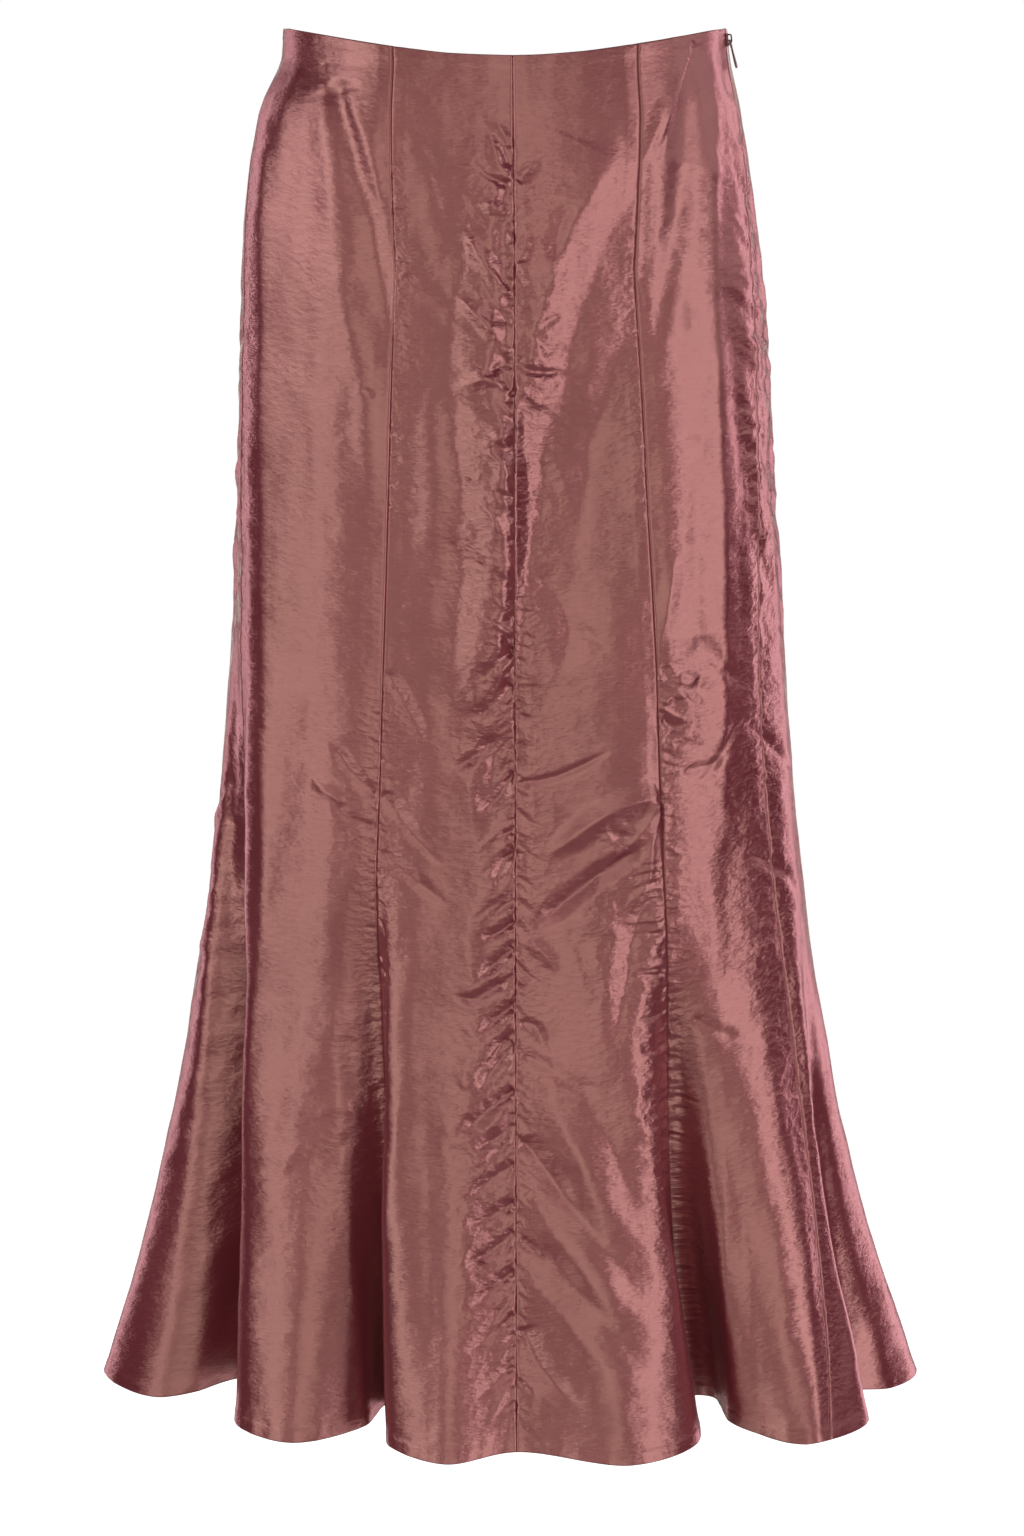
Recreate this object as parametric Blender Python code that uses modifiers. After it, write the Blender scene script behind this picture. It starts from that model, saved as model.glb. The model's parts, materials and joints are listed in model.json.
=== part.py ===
"""Mermaid fishtail skirt: eight gores, a turned-in waist edge and a concealed side zip.

Left and right are the wearer's, so left is +X, and the front faces -Y. The origin is the centre of
the waist opening, level with the waist edge at the two sides. The hem is near z = -0.96.

The cloth is one closed surface, cut into gores at its seams. A horizontal section through it runs
through the folds of FOLDS. Each fold leaves the smooth body section of BODY at a height of its own
and swings out, or in, to its place on the hem.
"""
from collections import namedtuple
import math

import bmesh
import bpy
from mathutils import Matrix, Vector
import numpy as np

MM = 0.001

# Driving sizes
LENGTH = 963 * MM
FRONT_DIP = 20 * MM
BACK_DIP = 24 * MM
DIP_POWER = 2.5
WALL = 1.2 * MM
SEAM_GAP = 0.3 * MM
ROWS = 28
CROWDING = 0.5
SPANS_PER_FOLD = 3

# The body section at each height: half-widths to either side, and half-depths, in millimetres.
Body = namedtuple("Body", "drop right left front back")
BODY = (
    Body(0, 154, 150, 104, 104),
    Body(25, 156.5, 153, 107, 108),
    Body(55, 164, 160, 110, 113),
    Body(85, 169.5, 165.5, 112, 118),
    Body(140, 177.5, 174, 115, 124),
    Body(220, 184, 182, 117, 126),
    Body(330, 190, 188.5, 116, 120),
    Body(445, 197, 195.5, 114, 114),
    Body(560, 208, 206, 116, 114),
    Body(675, 225, 222.5, 123, 122),
    Body(795, 248.5, 246, 138, 138),
    Body(855, 263, 262.5, 148, 150),
    Body(915, 280, 283, 161, 163),
    Body(963, 296, 299, 176, 178),
)

# Each seam's bearing round the body, in degrees from the front towards the left side.
Seam = namedtuple("Seam", "name waist hip thigh")
SEAMS = (
    Seam("centre_front", 1.2, 1.4, 1.4),
    Seam("front_left", 34.5, 29.0, 31.0),
    Seam("side_left", 80.0, 70.5, 63.0),
    Seam("back_left", 150.0, 153.0, 152.0),
    Seam("centre_back", 180.0, 180.0, 180.0),
    Seam("back_right", 210.0, 207.0, 208.5),
    Seam("side_right", 278.5, 287.5, 292.0),
    Seam("front_right", 330.5, 335.5, 334.5),
)
HIP_DROP = 160 * MM
THIGH_DROP = 430 * MM

# The gore that starts at each seam and runs to the next one
GORES = (
    "front_centre_left",
    "front_side_left",
    "back_side_left",
    "back_centre_left",
    "back_centre_right",
    "back_side_right",
    "front_side_right",
    "front_centre_right",
)

# A row for each fold line. Its place counts gores from the centre-front seam, so a whole number is
# a seam. hem_x and hem_y are its place on the hem and rise its height over the lowest hem, all in
# millimetres. It leaves the body section at start, and a higher power swings it later.
Fold = namedtuple("Fold", "place hem_x hem_y rise start power")
FOLDS = (
    Fold(0.00, 6, -171, 3, 560, 1.6),
    Fold(0.52, 84, -188, 0, 560, 1.7),
    Fold(0.84, 131, -152, 3, 600, 1.6),
    Fold(1.00, 133, -91, 11, 600, 1.4),
    Fold(1.25, 166, -132, 5, 560, 1.5),
    Fold(1.68, 204, -147, 0, 560, 2.2),
    Fold(2.00, 220, -143, 1, 600, 2.8),
    Fold(2.07, 253, -112, 4, 560, 2.0),
    Fold(2.14, 243, -68, 10, 600, 1.4),
    Fold(2.22, 276, -46, 6, 560, 1.6),
    Fold(2.30, 299, -2, 4, 560, 1.2),
    Fold(2.42, 282, 46, 5, 560, 1.6),
    Fold(2.56, 243, 70, 10, 580, 1.4),
    Fold(2.70, 232, 122, 3, 560, 1.7),
    Fold(2.84, 184, 148, 2, 560, 1.7),
    Fold(3.00, 130, 100, 11, 480, 1.4),
    Fold(3.22, 118, 160, 3, 560, 1.7),
    Fold(3.50, 66, 189, 0, 560, 1.7),
    Fold(4.00, -3, 172, 4, 560, 1.6),
    Fold(4.46, -68, 188, 0, 560, 1.7),
    Fold(4.80, -121, 158, 3, 560, 1.7),
    Fold(5.00, -132, 98, 11, 480, 1.4),
    Fold(5.14, -182, 146, 2, 560, 1.7),
    Fold(5.36, -231, 126, 3, 560, 1.7),
    Fold(5.52, -240, 72, 10, 580, 1.4),
    Fold(5.64, -279, 44, 5, 560, 1.6),
    Fold(5.74, -296, -2, 4, 560, 1.2),
    Fold(5.87, -252, -54, 2, 560, 1.6),
    Fold(6.00, -185, -50, 11, 420, 1.3),
    Fold(6.22, -190, -114, 3, 560, 1.7),
    Fold(6.58, -150, -143, 0, 560, 1.6),
    Fold(6.84, -106, -129, 4, 560, 1.6),
    Fold(7.00, -78, -100, 11, 560, 1.4),
    Fold(7.13, -79, -157, 3, 600, 1.7),
    Fold(7.48, -43, -186, 0, 560, 1.7),
)

# The zip slider's outer half, on the left side seam. Its drops below count from its own top.
ZIP_SEAM = 2.0
SLIDER_TOP = 3.4 * MM
SLIDER_HEIGHT = 9 * MM
SLIDER_WIDTH = 3.4 * MM
SLIDER_THICKNESS = 1.5 * MM
SLIDER_EDGE = 0.5 * MM
BRIDGE_REACH = 4.6 * MM
BRIDGE_WIRE = 1.1 * MM
BRIDGE_ROUNDING = 1.3 * MM
BRIDGE_TOP_DROP = 1.1 * MM
BRIDGE_CORNER_DROP = 6.6 * MM
BRIDGE_FOOT_DROP = 8.0 * MM

# The pull tab, which hangs on a bar under the bridge and leans out a little
PIVOT_OUT = 2.75 * MM
PIVOT_DROP = 8.2 * MM
PULL_BAR = 1.0 * MM
PULL_EYE_WIDTH = 2.1 * MM
PULL_EYE_LENGTH = 3.4 * MM
PULL_SHOULDER_LENGTH = 2.6 * MM
PULL_NECK_WIDTH = 2.2 * MM
PULL_WIDTH = 4.6 * MM
PULL_LENGTH = 19.5 * MM
PULL_LEAN = math.radians(9)

# How finely curves are made
CURVE_STEPS = 4
BEARING_STEP = 0.02
WELD_DISTANCE = 0.01 * MM
SHARP_ANGLE = math.radians(50)

Finish = namedtuple("Finish", "colour roughness metallic")
TAFFETA = Finish((0.305, 0.130, 0.118), 0.42, 0.25)
ZIP_METAL = Finish((0.150, 0.065, 0.062), 0.38, 0.8)


def clear_scene():
    """Remove every object of the scene."""
    for thing in list(bpy.data.objects):
        bpy.data.objects.remove(thing, do_unlink=True)


def make_material(name, finish):
    """Return a Principled material."""
    material = bpy.data.materials.new(name)
    material.use_nodes = True
    shader = material.node_tree.nodes["Principled BSDF"]
    shader.inputs["Base Color"].default_value = (*finish.colour, 1)
    shader.inputs["Roughness"].default_value = finish.roughness
    shader.inputs["Metallic"].default_value = finish.metallic
    return material


def link_mesh(name, mesh, collection, finish):
    """Put a mesh into the collection as an object with its own material."""
    piece = bpy.data.objects.new(name, mesh)
    collection.objects.link(piece)
    piece.data.materials.append(make_material(name, finish))
    return piece


def smooth_step_curve(points, gaps, t):
    """Interpolate from the second to the third of four points along a smooth curve.

    gaps are the lengths of the three steps between the points, as the curve's own measure.
    """
    before, start, end, after = points
    first, middle, last = gaps
    slope_start = middle * (
        (start - before) / first - (end - before) / (first + middle) + (end - start) / middle
    )
    slope_end = middle * (
        (end - start) / middle - (after - start) / (middle + last) + (after - end) / last
    )
    return (
        start * (2 * t**3 - 3 * t**2 + 1)
        + slope_start * (t**3 - 2 * t**2 + t)
        + end * (3 * t**2 - 2 * t**3)
        + slope_end * (t**3 - t**2)
    )


def step_lengths(points):
    """Return the square roots of the distances between neighbouring points."""
    return [
        np.linalg.norm(end - start, axis=0) ** 0.5 for start, end in zip(points, points[1:])
    ]


def body_size(column, drop):
    """Read one column of BODY at the given drops, in metres, along a smooth curve."""
    drops = np.array([row.drop for row in BODY]) * MM
    values = np.array([getattr(row, column) for row in BODY]) * MM
    slopes = np.gradient(values, drops)
    index = np.clip(np.searchsorted(drops, drop, side="right") - 1, 0, len(BODY) - 2)
    step = drops[index + 1] - drops[index]
    t = (drop - drops[index]) / step
    return (
        values[index] * (2 * t**3 - 3 * t**2 + 1)
        + slopes[index] * step * (t**3 - 2 * t**2 + t)
        + values[index + 1] * (3 * t**2 - 2 * t**3)
        + slopes[index + 1] * step * (t**3 - t**2)
    )


def body_point(bearing, drop):
    """Return x and y on the body section at a bearing in radians."""
    across = np.sin(bearing)
    along = -np.cos(bearing)
    width = np.where(across > 0, body_size("left", drop), body_size("right", drop))
    depth = np.where(along < 0, body_size("front", drop), body_size("back", drop))
    return np.stack((width * across, depth * along))


def seam_bearing(seam, drop):
    """Return a seam's bearing in radians at the given drops."""
    levels = (0, HIP_DROP, THIGH_DROP)
    return np.radians(np.interp(drop, levels, (seam.waist, seam.hip, seam.thigh)))


def place_bearing(place, drop):
    """Return the bearing of a place, which counts gores from the centre front."""
    gore = int(place)
    share = place - gore
    start = seam_bearing(SEAMS[gore], drop)
    end = seam_bearing(SEAMS[(gore + 1) % len(SEAMS)], drop)
    turn = np.where(end < start, 2 * math.pi, 0)
    return start + share * (end + turn - start)


def fold_path(fold, drop):
    """Return x and y of one fold line at the given drops."""
    bearing = place_bearing(fold.place, drop)
    hem = np.array([[fold.hem_x], [fold.hem_y]]) * MM
    full_length = np.full(1, LENGTH)
    swing = hem - body_point(place_bearing(fold.place, full_length), full_length)
    start = fold.start * MM
    growth = np.clip((drop - start) / (LENGTH - start), 0, 1) ** fold.power
    return body_point(bearing, drop) + swing * growth


def edge_drops(fold):
    """Return the drops of the waist edge and of the hem at a fold."""
    along = -math.cos(place_bearing(fold.place, 0.0))
    dip = FRONT_DIP if along < 0 else BACK_DIP
    return dip * abs(along) ** DIP_POWER, LENGTH - fold.rise * MM


def row_shares(rows):
    """Return the shares of the length of the cloth's rows, closest at the waist and the hem."""
    share = np.linspace(0, 1, rows + 1)
    return share - CROWDING * np.sin(2 * math.pi * share) / (2 * math.pi)


def cloth_surface(spans, shares):
    """Return the cloth's outer points, one column for each step from fold to fold.

    The result has the shape columns, rows, 3. Column number spans * i lies on fold i.
    """
    columns = []
    count = len(FOLDS)
    edges = np.array([edge_drops(fold) for fold in FOLDS])
    hem_points = np.array([(fold.hem_x, fold.hem_y) for fold in FOLDS])
    for index in range(count):
        near = [(index + offset) % count for offset in (-1, 0, 1, 2)]
        edge_gaps = step_lengths(hem_points[near])
        for step in range(spans):
            t = step / spans
            top, bottom = smooth_step_curve(edges[near], edge_gaps, t)
            drop = top + (bottom - top) * shares
            paths = [fold_path(FOLDS[i], drop) for i in near]
            ring = smooth_step_curve(paths, step_lengths(paths), t)
            columns.append(np.stack((ring[0], ring[1], -drop), axis=-1))
    return np.array(columns)


def surface_frames(surface):
    """Return the unit tangents round the cloth and its unit normals, which point outwards."""
    tangent = np.roll(surface, -1, axis=0) - np.roll(surface, 1, axis=0)
    tangent /= np.linalg.norm(tangent, axis=-1, keepdims=True)
    fall = np.gradient(surface, axis=1)
    normal = np.cross(fall, tangent)
    normal /= np.linalg.norm(normal, axis=-1, keepdims=True)
    return tangent, normal


def wall_mesh(name, outer, inner):
    """Close two grids of points, shaped columns, rows, 3, into one wall."""
    columns, rows, _ = outer.shape
    mesh = bmesh.new()
    skins = [
        [[mesh.verts.new(skin[c, r]) for r in range(rows)] for c in range(columns)]
        for skin in (outer, inner)
    ]
    for skin, outward in zip(skins, (True, False)):
        for c in range(columns - 1):
            for r in range(rows - 1):
                corners = (skin[c][r], skin[c][r + 1], skin[c + 1][r + 1], skin[c + 1][r])
                for triangle in ((0, 1, 2), (0, 2, 3)):
                    order = triangle if outward else triangle[::-1]
                    mesh.faces.new([corners[i] for i in order])
    border = [(c, 0) for c in range(columns)]
    border += [(columns - 1, r) for r in range(1, rows)]
    border += [(c, rows - 1) for c in range(columns - 2, -1, -1)]
    border += [(0, r) for r in range(rows - 2, 0, -1)]
    for (c0, r0), (c1, r1) in zip(border, border[1:] + border[:1]):
        mesh.faces.new((skins[0][c0][r0], skins[0][c1][r1], skins[1][c1][r1], skins[1][c0][r0]))
    bmesh.ops.triangulate(mesh, faces=[face for face in mesh.faces if len(face.verts) > 3])
    data = bpy.data.meshes.new(name)
    mesh.to_mesh(data)
    mesh.free()
    data.shade_smooth()
    data.set_sharp_from_angle(angle=SHARP_ANGLE)
    return data


def build_gores(collection):
    """Cut the cloth into its gores, each a closed wall just clear of its neighbours."""
    surface = cloth_surface(SPANS_PER_FOLD, row_shares(ROWS))
    tangent, normal = surface_frames(surface)
    seam_columns = [
        SPANS_PER_FOLD * index for index, fold in enumerate(FOLDS) if fold.place == int(fold.place)
    ]
    ends = seam_columns[1:] + [len(surface)]
    for name, first, last in zip(GORES, seam_columns, ends):
        columns = [column % len(surface) for column in range(first, last + 1)]
        outer = surface[columns].copy()
        outer[0] += tangent[columns[0]] * SEAM_GAP / 2
        outer[-1] -= tangent[columns[-1]] * SEAM_GAP / 2
        inner = outer - normal[columns] * WALL
        link_mesh(name, wall_mesh(name, outer, inner), collection, TAFFETA)


def seam_frame(seam_place, drop):
    """Return the outward frame at a seam: x along the normal, y round the body, z up."""
    fold = next(fold for fold in FOLDS if fold.place == seam_place)
    here, below = (
        Vector((*fold_path(fold, np.array([depth]))[:, 0], -depth))
        for depth in (drop, drop + SLIDER_HEIGHT)
    )
    bearing = float(place_bearing(seam_place, drop))
    ahead, behind = (
        Vector((*body_point(np.array([bearing + turn]), np.array([drop]))[:, 0], -drop))
        for turn in (BEARING_STEP, -BEARING_STEP)
    )
    round_body = (ahead - behind).normalized()
    out = round_body.cross(here - below).normalized()
    up = out.cross(round_body).normalized()
    frame = Matrix((out, round_body, up)).transposed().to_4x4()
    frame.translation = here
    return frame


def make_curve(name, points, closed):
    """Return a curve of one straight-sided spline through the points."""
    curve = bpy.data.curves.new(name, "CURVE")
    spline = curve.splines.new("POLY")
    spline.points.add(len(points) - 1)
    spline.use_cyclic_u = closed
    for target, point in zip(spline.points, points):
        target.co = (*point, 1)
    return curve


def solid_from_curve(curve):
    """Return the curve's shape as a closed mesh, and remove the curve."""
    holder = bpy.data.objects.new(curve.name, curve)
    bpy.context.scene.collection.objects.link(holder)
    graph = bpy.context.evaluated_depsgraph_get()
    mesh = bpy.data.meshes.new_from_object(holder.evaluated_get(graph))
    bpy.data.objects.remove(holder, do_unlink=True)
    bpy.data.curves.remove(curve)
    solid = bmesh.new()
    solid.from_mesh(mesh)
    bmesh.ops.remove_doubles(solid, verts=solid.verts, dist=WELD_DISTANCE)
    bmesh.ops.recalc_face_normals(solid, faces=solid.faces)
    solid.to_mesh(mesh)
    solid.free()
    return mesh


def wire_cutter(name, points, thickness, frame, cutters, closed):
    """Add a round wire along points given in a frame, to be joined to a solid."""
    curve = make_curve(name, points, closed)
    curve.dimensions = "3D"
    curve.bevel_depth = thickness / 2
    curve.bevel_resolution = 2
    curve.use_fill_caps = not closed
    wire = bpy.data.objects.new(name, solid_from_curve(curve))
    cutters.objects.link(wire)
    wire.matrix_world = frame
    wire.hide_render = True
    wire.display_type = "WIRE"
    return wire


def join_solid(target, tool):
    """Add the tool's shape to the target with a Boolean union."""
    union = target.modifiers.new("join_" + tool.name, "BOOLEAN")
    union.operation = "UNION"
    union.solver = "EXACT"
    union.object = tool


def bridge_line():
    """Return the bridge's centre line: out of the neck's top, down, and back in at its foot."""
    reach = BRIDGE_REACH - BRIDGE_WIRE / 2
    root = SLIDER_THICKNESS / 2
    corners = (
        Vector((root, 0, -BRIDGE_TOP_DROP)),
        Vector((reach, 0, -BRIDGE_TOP_DROP)),
        Vector((reach, 0, -BRIDGE_CORNER_DROP)),
        Vector((root, 0, -BRIDGE_FOOT_DROP)),
    )
    points = [corners[0]]
    for before, corner, after in zip(corners, corners[1:], corners[2:]):
        enter = corner + (before - corner).normalized() * BRIDGE_ROUNDING
        leave = corner + (after - corner).normalized() * BRIDGE_ROUNDING
        for step in range(CURVE_STEPS + 1):
            t = step / CURVE_STEPS
            points.append(enter * (1 - t) ** 2 + corner * 2 * t * (1 - t) + leave * t**2)
    points.append(corners[-1])
    return points


def build_slider(skirt, cutters, frame):
    """Make the slider's half that shows on the seam: its neck and the bridge for the pull."""
    bpy.ops.mesh.primitive_cube_add(size=1)
    neck = bpy.context.object
    neck.name = "zip_slider"
    for holder in list(neck.users_collection):
        holder.objects.unlink(neck)
    skirt.objects.link(neck)
    neck.data.transform(Matrix.Diagonal((SLIDER_THICKNESS, SLIDER_WIDTH, SLIDER_HEIGHT, 1)))
    lift = SEAM_GAP + SLIDER_THICKNESS / 2
    neck.matrix_world = frame @ Matrix.Translation((lift, 0, -SLIDER_HEIGHT / 2))
    neck.data.materials.append(make_material("zip_slider", ZIP_METAL))
    soften = neck.modifiers.new("soft_edges", "BEVEL")
    soften.width = SLIDER_EDGE
    soften.segments = 2
    bridge = wire_cutter("bridge", bridge_line(), BRIDGE_WIRE, frame, cutters, closed=False)
    join_solid(neck, bridge)


def eased_edge(start, end):
    """Return points of an edge that eases from one (across, drop) to another, without the first."""
    points = []
    for step in range(1, CURVE_STEPS + 1):
        t = step / CURVE_STEPS
        ease = (1 - math.cos(math.pi * t)) / 2
        across = start[0] + (end[0] - start[0]) * ease
        points.append((across, start[1] + (end[1] - start[1]) * t))
    return points


def pull_outline():
    """Return the tab's outline below its eye as (across, drop): shoulders, neck and round tip."""
    tip_radius = PULL_WIDTH / 2
    shoulder = (PULL_EYE_WIDTH / 2 + PULL_BAR, PULL_EYE_LENGTH)
    neck = (PULL_NECK_WIDTH / 2, PULL_EYE_LENGTH + PULL_SHOULDER_LENGTH)
    tip = (tip_radius, PULL_LENGTH - tip_radius)
    half = [shoulder] + eased_edge(shoulder, neck) + eased_edge(neck, tip)
    for step in range(1, CURVE_STEPS + 1):
        turn = math.pi / 2 * step / CURVE_STEPS
        half.append((tip_radius * math.cos(turn), tip[1] + tip_radius * math.sin(turn)))
    return half + [(-across, drop) for across, drop in reversed(half[:-1])]


def build_pull(skirt, cutters, frame):
    """Make the pull tab: a bar under the bridge, an eye round it and a long drop-shaped tab."""
    pivot = frame @ Matrix.Translation((PIVOT_OUT, 0, SLIDER_TOP - PIVOT_DROP))
    hang = pivot @ Matrix.Rotation(-PULL_LEAN, 4, "Y")
    curve = make_curve("tab", [(across, -drop, 0) for across, drop in pull_outline()], closed=True)
    curve.dimensions = "2D"
    curve.fill_mode = "BOTH"
    curve.extrude = PULL_BAR / 2
    mesh = solid_from_curve(curve)
    flat_to_upright = Matrix(((0, 0, 1, 0), (1, 0, 0, 0), (0, 1, 0, 0), (0, 0, 0, 1)))
    mesh.transform(flat_to_upright)
    tab = link_mesh("zip_pull", mesh, skirt, ZIP_METAL)
    tab.matrix_world = hang
    across = PULL_EYE_WIDTH / 2 + PULL_BAR / 2
    drop = PULL_EYE_LENGTH + PULL_BAR / 2
    loop = [(0, across, 0), (0, -across, 0), (0, -across, -drop), (0, across, -drop)]
    eye = wire_cutter("eye", loop, PULL_BAR, hang, cutters, closed=True)
    join_solid(tab, eye)


def main():
    """Build the skirt."""
    clear_scene()
    skirt = bpy.data.collections.new("mermaid_fishtail_skirt")
    cutters = bpy.data.collections.new("cutters")
    for collection in (skirt, cutters):
        bpy.context.scene.collection.children.link(collection)
    build_gores(skirt)
    zip_frame = seam_frame(ZIP_SEAM, SLIDER_TOP)
    build_slider(skirt, cutters, zip_frame)
    build_pull(skirt, cutters, zip_frame)


main()
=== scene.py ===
"""Looks of a mermaid fishtail skirt in crisp two-tone taffeta.

Left and right are the wearer's, so left is +X, and the front faces -Y. The origin is the centre of
the waist opening. A drop is a depth below it. Tables are in millimetres, all else in metres.
"""
from __future__ import annotations

from dataclasses import dataclass
from enum import Enum
import json
import logging
import math
from typing import Any, NamedTuple, Sequence, Union

import bpy
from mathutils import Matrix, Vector
import numpy as np

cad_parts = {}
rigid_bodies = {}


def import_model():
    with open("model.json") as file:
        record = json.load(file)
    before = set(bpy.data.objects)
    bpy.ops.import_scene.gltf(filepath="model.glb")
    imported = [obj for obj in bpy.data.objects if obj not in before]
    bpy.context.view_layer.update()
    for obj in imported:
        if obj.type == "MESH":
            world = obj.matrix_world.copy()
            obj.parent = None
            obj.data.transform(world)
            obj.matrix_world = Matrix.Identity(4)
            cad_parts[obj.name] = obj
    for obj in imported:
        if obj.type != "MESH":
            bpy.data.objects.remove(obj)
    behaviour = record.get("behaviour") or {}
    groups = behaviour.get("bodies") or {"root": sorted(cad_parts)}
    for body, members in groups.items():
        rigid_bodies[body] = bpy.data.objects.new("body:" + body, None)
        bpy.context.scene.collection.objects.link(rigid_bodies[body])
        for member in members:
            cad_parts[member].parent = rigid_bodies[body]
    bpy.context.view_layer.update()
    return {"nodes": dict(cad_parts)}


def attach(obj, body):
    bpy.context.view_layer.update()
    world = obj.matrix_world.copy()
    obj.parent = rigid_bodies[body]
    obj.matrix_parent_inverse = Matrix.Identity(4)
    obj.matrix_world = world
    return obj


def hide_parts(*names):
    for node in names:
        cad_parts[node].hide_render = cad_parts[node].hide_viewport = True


LOG = logging.getLogger("skirt")
MM = 0.001
UV_NAME = "cloth"
PUCKER_NAME = "pucker"
Number = Union[float, "Signal"]
Colour = tuple[float, float, float]
Cells = tuple[float, float]
Span = tuple[float, float]


# -------------------------------------------------------------------------------------------------
# Node trees
# -------------------------------------------------------------------------------------------------


class Signal:
    """A number that changes over a surface, whose maths is written as an expression."""

    def __init__(self, bench: "NodeBench", socket: bpy.types.NodeSocket) -> None:
        """Wrap a socket of a bench's tree."""
        self.bench = bench
        self.socket = socket

    def maths(self, operation: str, *others: Number) -> "Signal":
        """Add one Math node, whose values are this one and the others."""
        values = dict(enumerate((self, *others)))
        return self.bench.signal(self.bench.add("ShaderNodeMath", {"operation": operation}, values))

    def __add__(self, other: Number) -> "Signal":
        """Add."""
        return self.maths("ADD", other)

    __radd__ = __add__

    def __sub__(self, other: Number) -> "Signal":
        """Subtract."""
        return self.maths("SUBTRACT", other)

    def __rsub__(self, other: float) -> "Signal":
        """Subtract this from a number."""
        return self.maths("MULTIPLY_ADD", -1.0, other)

    def __mul__(self, other: Number) -> "Signal":
        """Multiply."""
        return self.maths("MULTIPLY", other)

    __rmul__ = __mul__

    def wave(self) -> "Signal":
        """Return the sine."""
        return self.maths("SINE")

    def ramp(self, low: float, high: float) -> "Signal":
        """Rise smoothly.

        Args:
            low: Where the result is 0.
            high: Where it is 1.

        Returns:
            The result.
        """
        node = self.bench.add(
            "ShaderNodeMapRange",
            {"interpolation_type": "SMOOTHSTEP"},
            {"Value": self, "From Min": low, "From Max": high},
        )
        return self.bench.signal(node)


class NodeBench:
    """Adds nodes to one tree, of shaders or of geometry."""

    def __init__(self, tree: bpy.types.NodeTree) -> None:
        """Work on a tree."""
        self.tree = tree

    def add(
        self,
        kind: str,
        settings: dict[str, Any] | None = None,
        inputs: dict[Any, Any] | None = None,
    ) -> bpy.types.Node:
        """Add a node.

        Args:
            kind: The node's type.
            settings: Its properties, which are set first.
            inputs: A value, a socket or a Signal for each input, by name or by number.

        Returns:
            The node.
        """
        node = self.tree.nodes.new(kind)
        for name, value in (settings or {}).items():
            setattr(node, name, value)
        for name, value in (inputs or {}).items():
            self.feed(node.inputs[name], value)
        return node

    def feed(self, target: bpy.types.NodeSocket, value: Any) -> None:
        """Link or set one input.

        Args:
            target: The input.
            value: A value, a socket or a Signal.
        """
        if isinstance(value, Signal):
            value = value.socket
        if isinstance(value, bpy.types.NodeSocket):
            self.tree.links.new(value, target)
        else:
            target.default_value = value

    def signal(self, node: bpy.types.Node, output: Any = 0) -> Signal:
        """Wrap a node's output."""
        return Signal(self, node.outputs[output])

    def mix(self, share: Number, first: Any, second: Any) -> bpy.types.NodeSocket:
        """Mix two colours, each a colour or a socket.

        Args:
            share: How much of the second.
            first: The first colour.
            second: The second colour.

        Returns:
            The mixed colour's socket.
        """
        whole = [(*c, 1.0) if isinstance(c, tuple) else c for c in (first, second)]
        node = self.add(
            "ShaderNodeMix",
            {"data_type": "RGBA"},
            {"Factor": share, 6: whole[0], 7: whole[1]},
        )
        return node.outputs[2]

    def noise(
        self, place: Any, stretch: tuple[float, float, float], detail: float, warp: float = 0.0
    ) -> Signal:
        """Add a noise texture.

        Args:
            place: The coordinates.
            stretch: How many of its cells a metre holds along each axis.
            detail: Its number of finer layers.
            warp: How far it distorts itself.

        Returns:
            The noise, from 0 to 1.
        """
        mapping = self.add("ShaderNodeMapping", {}, {"Vector": place, "Scale": stretch})
        node = self.add(
            "ShaderNodeTexNoise",
            {},
            {"Vector": mapping.outputs[0], "Scale": 1.0, "Detail": detail, "Distortion": warp},
        )
        return self.signal(node)

    def relief(
        self, shader: bpy.types.Node, height: Signal, leaning: bpy.types.Node | None = None
    ) -> None:
        """Raise a surface in its shading.

        Args:
            shader: The surface's shader.
            height: The height, in metres.
            leaning: The node that gives the normal to start from, where it isn't the surface's own.
        """
        inputs = {"Height": height, "Distance": 1.0, "Strength": 1.0}
        if leaning:
            inputs["Normal"] = leaning.outputs[0]
        self.feed(shader.inputs["Normal"], self.add("ShaderNodeBump", {}, inputs).outputs[0])


def new_shader(name: str, values: dict[str, Any]) -> tuple[bpy.types.Material, NodeBench, Any]:
    """Make a material with one Principled shader.

    Args:
        name: The material's name.
        values: The shader's constant inputs.

    Returns:
        The material, a bench for its tree, and its shader node.
    """
    material = bpy.data.materials.new(name)
    material.use_nodes = True
    bench = NodeBench(material.node_tree)
    shader = material.node_tree.nodes["Principled BSDF"]
    for socket, value in values.items():
        shader.inputs[socket].default_value = value
    return material, bench, shader


# -------------------------------------------------------------------------------------------------
# Finishes
# -------------------------------------------------------------------------------------------------


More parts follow.
